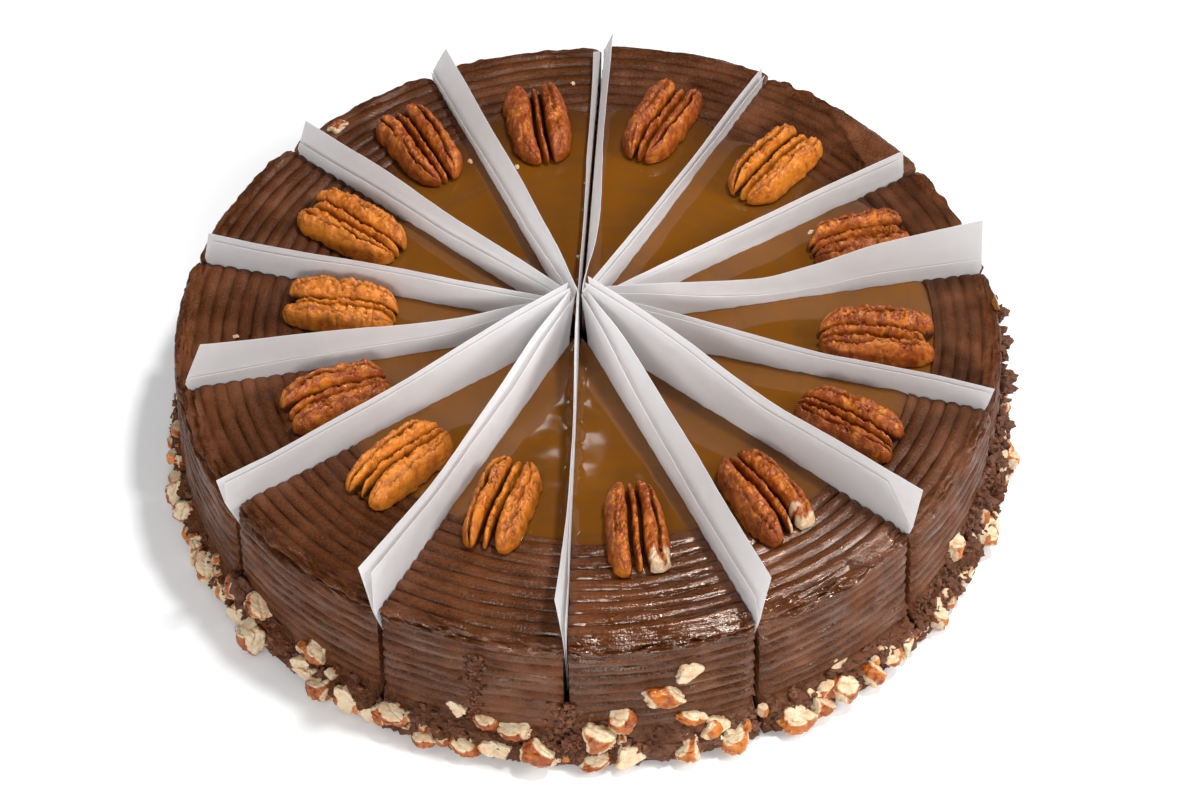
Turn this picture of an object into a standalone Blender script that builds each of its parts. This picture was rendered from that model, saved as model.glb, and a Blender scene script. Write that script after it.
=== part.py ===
"""Round chocolate-iced cheesecake, cut into fourteen slices that still stand together.

Every slice is one solid: combed ridges on its top and side, a rough foot with chopped nuts pressed
into it, and a shallow bed on top where its piece of the caramel pool lies. Half a nut kernel lies
across the edge of the caramel on every slice. A folded paper divider stands in every cut.

Lengths are metres, +Z is up, the underside is at z = 0 and the origin is under the middle.
"""
import math
import random

import bmesh
import bpy
from mathutils import Matrix, Vector, noise

MM = 0.001

# ---- sizes of the whole -----------------------------------------------------------------------------
TOP_RADIUS = 125.4 * MM         # round edge at the top, a ten inch cake
FOOT_RADIUS = 130.0 * MM        # widest place of the foot, where the frosting bulges out
HEIGHT = 48.9 * MM              # crests of the ridges on top
CUT_CENTRE = Vector((-2.8 * MM, 0.0, 0.0))   # the cuts meet a little off the middle
KERF = 1.7 * MM                 # gap left by the knife

# ---- combed ridges ----------------------------------------------------------------------------------
RIDGE_PITCH = 4.2 * MM          # between crests on top
RIDGE_DEPTH = 1.05 * MM         # crest to valley
RIDGE_OUTER = 119.6 * MM        # outermost valley, the smeared rim lies outside it
SIDE_RIDGES = 8
SIDE_PITCH = 4.0 * MM
SIDE_DEPTH = 0.95 * MM
SIDE_TOP = 44.8 * MM            # highest valley of the side
FOOT_TOP = 11.4 * MM            # the rough foot begins below this
SEGMENTS = 4                    # columns of faces across one slice

# ---- caramel ----------------------------------------------------------------------------------------
CARAMEL_BED = 47.2 * MM         # floor of the shallow bed in the frosting
CARAMEL_UNDER = 47.5 * MM
CARAMEL_TOP = 48.6 * MM
CARAMEL_GAP = 0.3 * MM          # between the caramel and the step of its bed

# ---- paper ------------------------------------------------------------------------------------------
PAPER_THICK = 0.4 * MM
PAPER_GAP = 0.3 * MM            # to the frosting on either side, and between the two leaves
PAPER_FOOT = 2.0 * MM           # the fold stands this far above the underside
PAPER_CLEAR = 0.9 * MM          # a leaf is upright until this far above the crests
DIVIDER_SLANT = 16.0            # its outer end slants back toward the fold by this much, mm

# ---- kernels ----------------------------------------------------------------------------------------
KERNEL_REST = HEIGHT + 0.3 * MM  # height of their flat undersides

SEED = 14

# Directions of the cuts, degrees counter-clockwise from +X, listed clockwise. Slice n lies between
# cut n and cut n + 1.
CUTS = (138.4, 112.4, 85.9, 60.4, 31.6, 9.6, -16.3, -41.2, -66.7, -92.4, -118.5, -146.2, -169.8, -195.1)

# One row a slice: reach of the caramel from the middle, how far the rim stands out, both mm.
SLICES = (
    (84.0, -1.1), (87.0, -0.6), (86.0, 1.7), (88.0, -0.6), (93.0, -1.0), (106.5, 0.3), (102.0, 0.0),
    (97.0, 0.0), (88.0, 0.2), (86.0, 0.0), (86.0, -0.3), (83.0, 0.2), (79.0, 0.6), (78.5, 0.2),
)

# One row a slice: middle of the kernel from the meeting point of the cuts (radius mm, degrees), length,
# width and height mm, turn clockwise off the radius, shift of the grooves, taper toward the middle.
KERNELS = (
    (91.6, 122.4, 35.0, 18.6, 9.4, 2.0, 0.10, 0.06),
    (87.4, 97.9, 34.0, 19.4, 9.0, -2.0, -0.10, 0.02),
    (90.3, 72.8, 35.7, 17.8, 9.2, 8.5, -0.20, 0.06),
    (90.3, 46.6, 34.5, 18.4, 9.6, -2.0, -0.16, -0.02),
    (92.9, 20.4, 31.5, 17.6, 9.0, 3.0, -0.06, -0.04),
    (90.5, 354.1, 35.4, 20.4, 10.4, -3.0, -0.42, 0.00),
    (90.2, 331.4, 34.0, 17.8, 9.2, 2.0, -0.26, 0.05),
    (88.0, 306.6, 34.8, 19.0, 9.4, 7.0, -0.12, 0.10),
    (84.1, 280.6, 34.2, 17.4, 9.0, 4.0, -0.02, 0.08),
    (76.3, 252.3, 34.5, 18.4, 9.2, -1.0, 0.00, -0.02),
    (77.1, 226.5, 35.8, 18.2, 9.6, 0.0, 0.12, 0.00),
    (78.4, 202.1, 33.6, 19.8, 9.4, -2.0, 0.20, 0.00),
    (72.9, 174.1, 34.8, 18.8, 10.2, 7.0, 0.42, -0.04),
    (80.9, 149.4, 35.6, 19.0, 9.8, 4.0, 0.22, 0.00),
)

# One row a divider, in the cut of the same number. First the side that its taller leaf is on, +1 for
# counter-clockwise. Then that leaf's top edge: distance from the meeting point of the cuts, lean
# (counter-clockwise counts up) and height above the crests. Last, about the other leaf: how much lower
# it is at the middle and at the rim, its lean at the rim, and how much shorter it is. All mm.
DIVIDERS = (
    (-1, ((7, -0.6, 12), (21, -1.2, 11.5), (57, -2.1, 11), (86, -2.8, 12), (116, -2.4, 12.6)),
     (3, 7, 0.8, 0)),
    (-1, ((7, -0.7, 13), (20, -2.6, 12.5), (39, -3.5, 11), (84, -4.1, 11), (120, -4.3, 11)),
     (3, 7, 1.0, 1)),
    (-1, ((7, -0.7, 13), (18, -2.8, 12), (29, -4.2, 11), (50, -3.6, 10), (90, -2.9, 10), (119.5, -3.6, 10.5)),
     (5, 7, 2.2, 1.5)),
    (1, ((7, 0.4, 12), (30, -0.2, 11), (52, -0.7, 9.6), (92, -0.6, 9), (119.5, -0.9, 8.6)),
     (2.4, 1.6, -2.2, 1.4)),
    (1, ((7, 0.4, 9.5), (34, 0.4, 9.5), (54, 0.4, 10), (120, 0.4, 10)),
     (0.8, 1.4, -0.6, 3)),
    (1, ((7, 0.4, 15.5), (29, 0.3, 13.3), (57, 0.3, 9), (67, 0.3, 9.7), (91, 0.3, 17.6), (125, 0.3, 21)),
     (1.5, 15.8, -0.5, 0)),
    (1, ((7, 0.4, 15), (27, 0.3, 14.7), (61, 0.3, 9.6), (81, 0.3, 8.4), (101, 0.3, 9.2), (128, 0.3, 7.7)),
     (1, 1, -0.5, 1)),
    (1, ((7, 0.5, 24), (13, 0.6, 24.6), (46, 0.7, 21.4), (73, 1.0, 16.4), (108, 1.0, 18.6), (129, 1.0, 18.9)),
     (1.6, 3.2, 0.0, 11.4)),
    (1, ((7, 0.6, 20), (12, 1.4, 21.6), (30, 3.8, 19), (48, 4.3, 16.6), (82, 4.4, 16), (127, 2.8, 19)),
     (2, 9, -0.6, 2)),
    (-1, ((7, -0.4, 20), (16, -0.3, 22), (41, -0.3, 13), (81, -0.4, 13), (97, -1.2, 14), (113, -3.1, 17),
          (121.5, -3.0, 18)), (1, 8, 0.4, -2.5)),
    (-1, ((7, -0.6, 19), (17, -1.2, 21.4), (30, -2.4, 17), (43, -2.6, 15.4), (63, -1.8, 15), (96, -1.8, 16),
          (126, -3.1, 19)), (2, 2, -0.4, 1.6)),
    (-1, ((7, -0.4, 21), (25, -0.3, 19.8), (54, -0.3, 15.5), (80, -0.3, 13.7), (119, -0.3, 11.5),
          (127, -0.3, 13)), (1.4, 1.2, 0.5, 2)),
    (-1, ((7, -0.4, 13), (12, -0.3, 14), (40, -0.3, 10.6), (65, -0.3, 13), (114.5, -0.3, 16.5)),
     (1.2, 12.7, 0.5, -4.5)),
    (-1, ((7, -0.4, 10), (76, -0.3, 11.3), (96, -0.3, 10.4), (117.5, -0.3, 11.5)),
     (0.9, 1.9, 0.5, 1.5)),
)
# How far the fold of each divider reaches out, mm.
DIVIDER_REACH = (118, 121.5, 121, 121, 120.5, 125.6, 126.5, 127.0, 126.6, 125.8, 125.6, 125.0, 120.5, 119.5)

# Chopped nuts pressed into the foot that can be told apart: degrees about the middle, height of its
# middle above the table, width and height, mm.
CHOPPED = (
    (191.5, 5.5, 5, 8), (196.5, 9, 5, 7), (202, 5, 6, 9), (206.5, 6, 5, 10), (213, 12, 5, 9),
    (215, 5, 7, 6), (218.5, 14.5, 8, 7), (219, 5, 8, 9), (229, 6, 7, 5), (230, 15, 6, 7),
    (231.5, 5, 6, 7), (236, 5, 5, 9), (242.5, 8.5, 8, 5), (247.5, 4, 6, 5), (251.5, 16, 5, 5),
    (255.5, 13.5, 6, 4.5), (253, 4.5, 7, 4.5), (257.5, 5.5, 7.5, 5.5), (259.5, 12.5, 8.5, 4.5),
    (262.5, 7, 8, 7), (264, 3, 6, 4), (270.5, 12.5, 8, 9.5), (273.5, 18, 6, 9), (274.5, 5.5, 8, 7),
    (270, 3, 7, 4.5), (279, 26.5, 11, 6), (282.5, 35.5, 7, 6), (282, 5, 6.5, 6), (283, 15, 8, 4.5),
    (286, 10, 8, 5), (288, 4.5, 6.5, 7), (297, 5, 8.5, 7.5), (297.5, 3, 6, 5), (300.5, 5, 7, 6),
    (304, 7, 7, 7.5), (305, 13, 6.5, 4.5), (309, 5, 6, 7.5), (312.5, 6.5, 6, 4.5), (315.5, 5, 6, 6),
    (322, 4.5, 5, 7.5), (328.5, 21, 5.5, 8), (329.5, 5, 7, 5), (333, 13, 5, 6), (337, 7, 5, 6),
    (340.5, 5, 6, 7), (351.5, 5.5, 5, 7),
)
CHIP_DEPTH = 6.0 * MM           # how long a chopped nut is toward the middle of the cake
CHIP_PROUD = 0.34               # share of its smaller side that stands out of the foot
FOOT_SIDE = 129.6 * MM          # radius the chopped nuts are measured from
BACK_NUTS = 5                   # chopped nuts on each slice of the far side, which is not seen
BACK_SLICES = (1, 2, 3, 4, 5, 6, 13, 14)

# Points of frosting dragged out of the side by the comb: degrees, height mm, length mm.
SPIKES = ((-8.0, 41.0, 3.0), (-4.5, 33.0, 3.2), (-15.0, 24.0, 3.2), (-1.0, 20.0, 3.0), (4.5, 30.0, 2.6),
          (-20.0, 30.0, 2.6), (-27.0, 15.0, 3.0), (-33.5, 9.0, 3.4))

MATERIALS = {
    "frosting": ((0.072, 0.026, 0.014, 1.0), 0.42, 0.0),
    "caramel": ((0.195, 0.073, 0.010, 1.0), 0.18, 0.0),
    "kernel": ((0.330, 0.092, 0.026, 1.0), 0.46, 0.0),
    "paper": ((0.690, 0.672, 0.680, 1.0), 0.55, 0.0),
}


# ---- helpers ----------------------------------------------------------------------------------------
def clear_scene():
    for obj in list(bpy.data.objects):
        bpy.data.objects.remove(obj, do_unlink=True)


def new_collection(name):
    coll = bpy.data.collections.new(name)
    bpy.context.scene.collection.children.link(coll)
    return coll


def make_material(name):
    colour, roughness, metallic = MATERIALS[name]
    mat = bpy.data.materials.new(name)
    mat.use_nodes = True
    shader = mat.node_tree.nodes["Principled BSDF"]
    shader.inputs["Base Color"].default_value = colour
    shader.inputs["Roughness"].default_value = roughness
    shader.inputs["Metallic"].default_value = metallic
    mat.diffuse_color = colour
    return mat


def mesh_object(name, bm, coll, material=None):
    bmesh.ops.recalc_face_normals(bm, faces=bm.faces)
    mesh = bpy.data.meshes.new(name)
    bm.to_mesh(mesh)
    bm.free()
    obj = bpy.data.objects.new(name, mesh)
    coll.objects.link(obj)
    if material:
        mesh.materials.append(material)
    return obj


def lerp(a, b, t):
    return a + (b - a) * t


def along(table, x, column):
    """Value of a column at place x of a table whose first column is the place."""
    if x <= table[0][0]:
        return table[0][column]
    for lo, hi in zip(table, table[1:]):
        if x <= hi[0]:
            return lerp(lo[column], hi[column], (x - lo[0]) / (hi[0] - lo[0]))
    return table[-1][column]


def direction(degrees):
    a = math.radians(degrees)
    return Vector((math.cos(a), math.sin(a), 0.0))


def cut_faces(n):
    """Direction and sideways offset of the two cut faces of slice n (counted from 1)."""
    start = CUTS[n - 1]
    end = CUTS[n] if n < len(CUTS) else CUTS[0] - 360.0
    return start, end


def angle_on_cut(radius, cut, side):
    """Degrees about the middle where a circle about it meets the face of a cut."""
    u = direction(cut)
    v = Vector((-u.y, u.x, 0.0))
    p = CUT_CENTRE + v * (side * KERF / 2)
    b = p.dot(u)
    s = -b + math.sqrt(b * b - p.length_squared + radius * radius)
    q = p + u * s
    return math.degrees(math.atan2(q.y, q.x))


def slice_tip(n):
    """Where the two cut faces of a slice meet."""
    start, end = cut_faces(n)
    half = math.radians(start - end) / 2
    return CUT_CENTRE + direction((start + end) / 2) * (KERF / 2 / math.sin(half))


def slice_angle(n, radius, t):
    """Degrees about the middle, t from 0 at the clockwise cut face to 1 at the other."""
    start, end = cut_faces(n)
    hi = angle_on_cut(radius, start, -1)
    lo = angle_on_cut(radius, end, 1)
    while hi < lo:
        hi += 360.0
    while hi - lo > 180.0:
        hi -= 360.0
    return lerp(lo, hi, t)


def waver(angle, level, size, scale, seed):
    """Slow unevenness round the cake: the same at the same place, so that neighbours agree."""
    a = math.radians(angle)
    return size * noise.noise(Vector((math.cos(a) * scale, math.sin(a) * scale, level + seed)))


# ---- frosting ---------------------------------------------------------------------------------------
def frosting_profile(reach):
    """Rows (radius, height, unevenness) from the caramel's edge over the rim and down to the underside."""
    rows = [(reach, CARAMEL_BED, 0.0), (reach + 0.4 * MM, HEIGHT - 0.45 * MM, 0.0)]
    count = int((RIDGE_OUTER - reach - 0.6 * MM) / RIDGE_PITCH)
    pitch = RIDGE_PITCH if count > 5 else (RIDGE_OUTER - reach - 1.2 * MM) / count
    valley = RIDGE_OUTER - count * pitch
    for k in range(count):
        rows.append((valley + k * pitch, HEIGHT - RIDGE_DEPTH, 0.25))
        rows.append((valley + (k + 0.5) * pitch, HEIGHT, 0.25))
    rows.append((RIDGE_OUTER, HEIGHT - 0.8 * RIDGE_DEPTH, 0.3))
    rows.append((TOP_RADIUS - 3.6 * MM, HEIGHT, 0.5))
    rows.append((TOP_RADIUS - 1.0 * MM, HEIGHT - 0.9 * MM, 1.0))
    rows.append((TOP_RADIUS, HEIGHT - 2.8 * MM, 1.0))
    for k in range(SIDE_RIDGES):
        z = SIDE_TOP - k * SIDE_PITCH
        bulge = lerp(0.0, 1.0 * MM, k / SIDE_RIDGES)
        rows.append((TOP_RADIUS - SIDE_DEPTH + 0.2 * MM + bulge, z, 0.6))
        rows.append((TOP_RADIUS + 0.2 * MM + bulge, z - SIDE_PITCH / 2, 0.6))
    rows.append((TOP_RADIUS + 0.6 * MM, FOOT_TOP + 1.0 * MM, 0.8))
    rows.append((FOOT_RADIUS - 0.8 * MM, FOOT_TOP - 2.6 * MM, 1.6))
    rows.append((FOOT_RADIUS, 3.4 * MM, 1.4))
    rows.append((FOOT_RADIUS - 1.2 * MM, 0.0, 0.8))
    return rows


def row_points(n, radius, z, rough, rim):
    """One row of a slice at a radius about the middle, its two ends exactly on the cut faces."""
    points = []
    for k in range(SEGMENTS + 1):
        t = k / SEGMENTS
        angle = slice_angle(n, radius, t)
        r = radius
        level = z
        if rough:
            out = max(0.0, (radius - 110 * MM) / (15 * MM))
            r += rim * min(out, 1.0) + waver(angle, z / MM * 0.10, 1.1 * MM * rough, 9.0, 3.1)
            if z > 1.0 * MM:
                level += waver(angle, radius / MM * 0.05, 0.55 * MM * rough, 7.0, 8.6)
            angle = slice_angle(n, r, t)
        if level > HEIGHT:
            level = HEIGHT
        u = direction(angle)
        points.append(Vector((u.x * r, u.y * r, max(level, 0.0))))
    return points


def slice_body(n, coll, material):
    reach, rim = (v * MM for v in SLICES[n - 1])
    tip = slice_tip(n)
    bm = bmesh.new()
    rows = [[bm.verts.new(p) for p in row_points(n, r, z, rough, rim)]
            for r, z, rough in frosting_profile(reach)]
    top = bm.verts.new((tip.x, tip.y, CARAMEL_BED))
    under = bm.verts.new((tip.x, tip.y, 0.0))
    for k in range(SEGMENTS):
        bm.faces.new((top, rows[0][k], rows[0][k + 1]))
        bm.faces.new((under, rows[-1][k + 1], rows[-1][k]))
    for upper, lower in zip(rows, rows[1:]):
        for k in range(SEGMENTS):
            bm.faces.new((upper[k], lower[k], lower[k + 1], upper[k + 1]))
    for k in (0, SEGMENTS):
        bm.faces.new([top] + [row[k] for row in rows] + [under])
    bmesh.ops.triangulate(bm, faces=bm.faces)
    return mesh_object("slice_%02d" % n, bm, coll, material)


def nut_chip(name, place, size, axis, coll, rng):
    """A broken bit of nut: an icosphere squeezed and knocked out of round."""
    bm = bmesh.new()
    bmesh.ops.create_icosphere(bm, subdivisions=1, radius=1.0)
    frame = axis.to_track_quat("X", "Z").to_matrix().to_4x4()
    spin = Matrix.Rotation(rng.uniform(-0.5, 0.5), 4, "X")
    for v in bm.verts:
        k = 1.0 + rng.uniform(-0.14, 0.14)
        v.co = Vector((v.co.x * size[0], v.co.y * size[1], v.co.z * size[2])) * (0.5 * k)
    bmesh.ops.transform(bm, matrix=Matrix.Translation(place) @ frame @ spin, verts=bm.verts)
    return mesh_object(name, bm, coll)


def spike(name, angle, level, length, coll):
    """A small point of frosting, its root inside the side."""
    bm = bmesh.new()
    bmesh.ops.create_cone(bm, cap_ends=True, segments=4, radius1=1.5 * MM, radius2=0.15 * MM,
                          depth=length + 2.0 * MM)
    u = direction(angle)
    turn = u.to_track_quat("Z", "X").to_matrix().to_4x4()
    mid = u * (TOP_RADIUS - 1.6 * MM + (length + 2.0 * MM) / 2) + Vector((0, 0, level))
    bmesh.ops.transform(bm, matrix=Matrix.Translation(mid) @ turn, verts=bm.verts)
    return mesh_object(name, bm, coll)


def between_cuts(n, angle, radius, margin):
    """An angle moved, if need be, so that a bit this wide keeps clear of the cuts of its slice."""
    lo = slice_angle(n, radius, 0.0) + math.degrees(margin / radius)
    hi = slice_angle(n, radius, 1.0) - math.degrees(margin / radius)
    while angle < lo - 180.0:
        angle += 360.0
    while angle > hi + 180.0:
        angle -= 360.0
    return min(max(angle, lo), hi)


def slice_of(angle, radius):
    """The slice that holds an angle at a radius."""
    for n in range(1, len(CUTS) + 1):
        lo, hi = slice_angle(n, radius, 0.0), slice_angle(n, radius, 1.0)
        if ((angle - lo) % 360.0) <= ((hi - lo) % 360.0) + 0.9:
            return n
    return 1


def toppings(n, coll):
    """Chopped nuts and points of frosting that belong to a slice."""
    rng = random.Random(SEED * 100 + n)
    chips = []
    for angle, level, width, tall in CHOPPED:
        if slice_of(angle, FOOT_SIDE) == n:
            chips.append((angle, level * MM, width * MM, tall * MM))
    if n in BACK_SLICES:
        lo, hi = slice_angle(n, FOOT_SIDE, 0.0), slice_angle(n, FOOT_SIDE, 1.0)
        for k in range(BACK_NUTS):
            width = rng.uniform(5.5, 8.5) * MM
            tall = rng.uniform(4.5, 7.5) * MM
            level = tall / 2 + rng.uniform(0.8, 7.0) * MM
            chips.append((lerp(lo, hi, (k + rng.uniform(0.3, 0.7)) / BACK_NUTS), level, width, tall))
    for k, (angle, level, width, tall) in enumerate(chips):
        angle = between_cuts(n, angle, FOOT_SIDE, width * 0.62 + 0.3 * MM)
        proud = CHIP_PROUD * min(width, tall)
        side = FOOT_SIDE if level < 10 * MM else TOP_RADIUS + 0.4 * MM
        u = direction(angle)
        level = max(level, tall * 0.58 + 0.3 * MM)
        place = u * (side + proud - CHIP_DEPTH / 2) + Vector((0, 0, level))
        nut_chip("chip_%02d_%02d" % (n, k), place, (CHIP_DEPTH, width, tall), u, coll, rng)
    for k, (angle, level, length) in enumerate(SPIKES):
        if slice_of(angle, TOP_RADIUS) == n:
            spike("spike_%02d_%02d" % (n, k), angle, level * MM, length * MM, coll)
    if n == 1:      # a chip pressed into the rim
        place = CUT_CENTRE + direction(130.6) * (117.5 * MM) + Vector((0, 0, HEIGHT - 0.6 * MM))
        nut_chip("chip_rim", place, (11 * MM, 5 * MM, 5 * MM), direction(118.0), coll, rng)
    if n == 4:      # frosting folded over at the rim
        place = CUT_CENTRE + direction(38.6) * (117.0 * MM) + Vector((0, 0, HEIGHT - 0.9 * MM))
        nut_chip("fold_rim", place, (17 * MM, 10 * MM, 5 * MM), direction(30.0), coll, rng)


def fuse(body, coll):
    """Join everything in a helper collection to a body with one union and remove the helpers."""
    if not coll.objects:
        return
    mod = body.modifiers.new("toppings", "BOOLEAN")
    mod.operation = "UNION"
    mod.operand_type = "COLLECTION"
    mod.collection = coll
    mod.solver = "MANIFOLD"
    bpy.context.view_layer.update()
    for obj in bpy.context.selected_objects:
        obj.select_set(False)
    bpy.context.view_layer.objects.active = body
    body.select_set(True)
    bpy.ops.object.modifier_apply(modifier=mod.name)
    body.select_set(False)
    for obj in list(coll.objects):
        bpy.data.objects.remove(obj, do_unlink=True)


def tidy_solid(body):
    """Triangulate, weld what lies closer than a hair and keep only the largest closed piece."""
    bm = bmesh.new()
    bm.from_mesh(body.data)
    bmesh.ops.triangulate(bm, faces=bm.faces)
    bmesh.ops.remove_doubles(bm, verts=bm.verts, dist=0.000002)
    bmesh.ops.dissolve_degenerate(bm, edges=bm.edges, dist=0.000002)
    bmesh.ops.triangulate(bm, faces=bm.faces)
    bm.faces.ensure_lookup_table()
    seen, pieces = set(), []
    for face in bm.faces:
        if face.index in seen:
            continue
        stack, piece = [face], []
        seen.add(face.index)
        while stack:
            f = stack.pop()
            piece.append(f)
            for e in f.edges:
                for g in e.link_faces:
                    if g.index not in seen:
                        seen.add(g.index)
                        stack.append(g)
        pieces.append(piece)
    pieces.sort(key=len)
    for piece in pieces[:-1]:
        bmesh.ops.delete(bm, geom=piece, context="FACES")
    bmesh.ops.delete(bm, geom=[v for v in bm.verts if not v.link_faces], context="VERTS")
    bmesh.ops.recalc_face_normals(bm, faces=bm.faces)
    bm.to_mesh(body.data)
    bm.free()


# ---- caramel ----------------------------------------------------------------------------------------
def caramel_piece(n, coll, material):
    """The part of the caramel pool on one slice, cut off flush with it."""
    reach = SLICES[n - 1][0] * MM - CARAMEL_GAP
    tip = slice_tip(n)
    bm = bmesh.new()
    profile = ((reach - 3.0 * MM, CARAMEL_TOP), (reach, CARAMEL_TOP - 0.5 * MM), (reach, CARAMEL_UNDER))
    rows = [[bm.verts.new(p) for p in row_points(n, r, z, 0.0, 0.0)] for r, z in profile]
    top = bm.verts.new((tip.x, tip.y, CARAMEL_TOP))
    under = bm.verts.new((tip.x, tip.y, CARAMEL_UNDER))
    for k in range(SEGMENTS):
        bm.faces.new((top, rows[0][k], rows[0][k + 1]))
        bm.faces.new((under, rows[-1][k + 1], rows[-1][k]))
    for upper, lower in zip(rows, rows[1:]):
        for k in range(SEGMENTS):
            bm.faces.new((upper[k], lower[k], lower[k + 1], upper[k + 1]))
    for k in (0, SEGMENTS):
        bm.faces.new([top] + [row[k] for row in rows] + [under])
    bmesh.ops.triangulate(bm, faces=bm.faces)
    return mesh_object("caramel_%02d" % n, bm, coll, material)


# ---- kernels ----------------------------------------------------------------------------------------
# Section across a kernel, every 30 degrees round: sideways and up as shares of half width and height.
KERNEL_SECTION = ((1.0, 0.34), (0.70, 0.94), (0.27, 0.56), (0.0, 0.80), (-0.27, 0.56), (-0.70, 0.94),
                  (-1.0, 0.34), (-0.78, 0.0), (-0.40, 0.0), (0.0, 0.0), (0.40, 0.0), (0.78, 0.0))
KERNEL_RINGS = 7


def kernel(n, coll, material):
    """Half a kernel: two rounded lobes, a narrow ridge between two grooves, a flat underside."""
    radius, angle, length, width, tall, turn, shift, taper = KERNELS[n - 1]
    sides = len(KERNEL_SECTION)
    bm = bmesh.new()
    bmesh.ops.create_uvsphere(bm, u_segments=sides, v_segments=KERNEL_RINGS, radius=1.0)
    for v in bm.verts:
        s = max(-1.0, min(1.0, v.co.z))
        step = int(round(math.degrees(math.atan2(v.co.y, v.co.x)) / 30.0)) % sides
        y, z = KERNEL_SECTION[step]
        y += shift * (1.0 - abs(y)) if z > 0.0 else 0.0
        full = max(0.0, 1.0 - abs(s) ** 2.8) ** 0.5
        pole = abs(s) > 0.999
        x = 0.5 * length * (s - 0.05 * math.copysign(1.0 - abs(y), s) * (1.0 - full))
        y = 0.0 if pole else y * 0.5 * width * full * (1.0 + taper * s)
        z = 0.34 * tall if pole else tall * (z * (0.45 + 0.55 * full) + 0.22 * (1.0 - full) ** 1.5)
        v.co = Vector((x, y, z)) * MM
    centre = CUT_CENTRE + direction(angle) * (radius * MM) + Vector((0, 0, KERNEL_REST))
    spin = Matrix.Rotation(math.radians(angle - turn), 4, "Z")
    bmesh.ops.transform(bm, matrix=Matrix.Translation(centre) @ spin, verts=bm.verts)
    bmesh.ops.triangulate(bm, faces=bm.faces)
    return mesh_object("pecan_%02d" % n, bm, coll, material)


# ---- paper ------------------------------------------------------------------------------------------
STATIONS = 8                    # places along a leaf
DIVIDER_INNER = 7.0             # the leaves begin this far from the meeting point of the cuts, mm
LEAF_LOWEST = 3.0               # no leaf's edge comes closer to the crests than this, mm


def leaf_edge(row, taller, share):
    """Place along the cut, lean and height above the crests of a leaf's top edge, mm."""
    side, edge, (low_inner, low_rim, rim_lean, shorter) = row
    reach = edge[-1][0]
    if taller:
        place = lerp(DIVIDER_INNER, reach, share)
        return place, along(edge, place, 1), along(edge, place, 2)
    place = lerp(DIVIDER_INNER, reach - shorter, share)
    height = along(edge, place, 2) - lerp(low_inner, low_rim, share)
    return place, lerp(-0.4 * side, rim_lean, share), max(height, LEAF_LOWEST)


def divider(n, coll, material):
    """One folded sheet: two leaves that stand in the cut and lean apart above it, joined at the foot."""
    row = DIVIDERS[n - 1]
    reach = DIVIDER_REACH[n - 1]
    u = direction(CUTS[n - 1])
    v = Vector((-u.y, u.x, 0.0))
    t = PAPER_THICK
    mid = PAPER_GAP / 2 + t / 2               # from the middle of the cut to the middle of a leaf
    bm = bmesh.new()

    def vert(along_mm, across, z):
        p = CUT_CENTRE + u * (along_mm * MM) + v * across
        return bm.verts.new((p.x, p.y, z))

    rings = []
    for k in range(STATIONS):
        share = k / (STATIONS - 1)
        low = lerp(DIVIDER_INNER, reach - DIVIDER_SLANT, share)
        kerf = lerp(DIVIDER_INNER, reach, share)
        lean_of = {sign: leaf_edge(row, sign == row[0], share)[1] for sign in (1, -1)}
        half = []
        for sign in (1, -1):
            high, _, tall = leaf_edge(row, sign == row[0], share)
            wave = 0.22 * MM * math.sin(high / 9.0 + 2.1 * n) * min(1.0, high / 40.0)
            lean = lean_of[sign] * MM + sign * mid * 0.6 + wave
            if sign > 0:
                lean = max(lean, lean_of[-1] * MM + 1.2 * t)
            top = HEIGHT + tall * MM
            edge = HEIGHT + PAPER_CLEAR
            outer = [vert(low, sign * (mid + t / 2), PAPER_FOOT), vert(kerf, sign * (mid + t / 2), edge),
                     vert(high, lean + sign * t / 2, top)]
            inside = [vert(high, lean - sign * t / 2, top), vert(kerf, sign * (mid - t / 2), edge),
                      vert(low, sign * (mid - t / 2), PAPER_FOOT + t)]
            half.append(outer + inside)
        rings.append(half[0] + half[1][::-1])
    count = len(rings[0])
    alike = (0, 1, 6, 7)                      # quads whose diagonal runs with the ring's direction
    for a, b in zip(rings, rings[1:]):
        for i in range(count):
            j = (i + 1) % count
            if i in alike:
                bm.faces.new((a[i], a[j], b[j]))
                bm.faces.new((a[i], b[j], b[i]))
            else:
                bm.faces.new((a[i], a[j], b[i]))
                bm.faces.new((a[j], b[j], b[i]))
    for ring in (rings[0], rings[-1]):
        for i, j, k, m in ((0, 1, 4, 5), (1, 2, 3, 4), (0, 5, 6, 11), (6, 7, 10, 11), (7, 8, 9, 10)):
            bm.faces.new((ring[i], ring[j], ring[k], ring[m]))
    bmesh.ops.triangulate(bm, faces=[f for f in bm.faces if len(f.verts) > 3])
    return mesh_object("paper_%02d" % n, bm, coll, material)


def main():
    clear_scene()
    parts = new_collection("cheesecake")
    helpers = new_collection("helpers")
    helpers.hide_render = True
    mats = {name: make_material(name) for name in MATERIALS}
    for n in range(1, len(CUTS) + 1):
        body = slice_body(n, parts, mats["frosting"])
        toppings(n, helpers)
        for obj in helpers.objects:
            obj.hide_render = True
            obj.display_type = "WIRE"
        fuse(body, helpers)
        tidy_solid(body)
        caramel_piece(n, parts, mats["caramel"])
        kernel(n, parts, mats["kernel"])
        divider(n, parts, mats["paper"])
    bpy.data.collections.remove(helpers)


main()
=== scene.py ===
"""Looks of a round chocolate-iced cheesecake with a caramel top, cut into fourteen slices.

The solids of the cake are loaded as a fixed frame. Every slice, pool of caramel, nut kernel and paper
divider is then modelled again in fine detail in the place that its solid gives, and chopped nuts and
crumbs are pressed into the foot. Lengths are metres, +Z is up, the cake stands on z = 0.
"""
import math
import random

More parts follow.
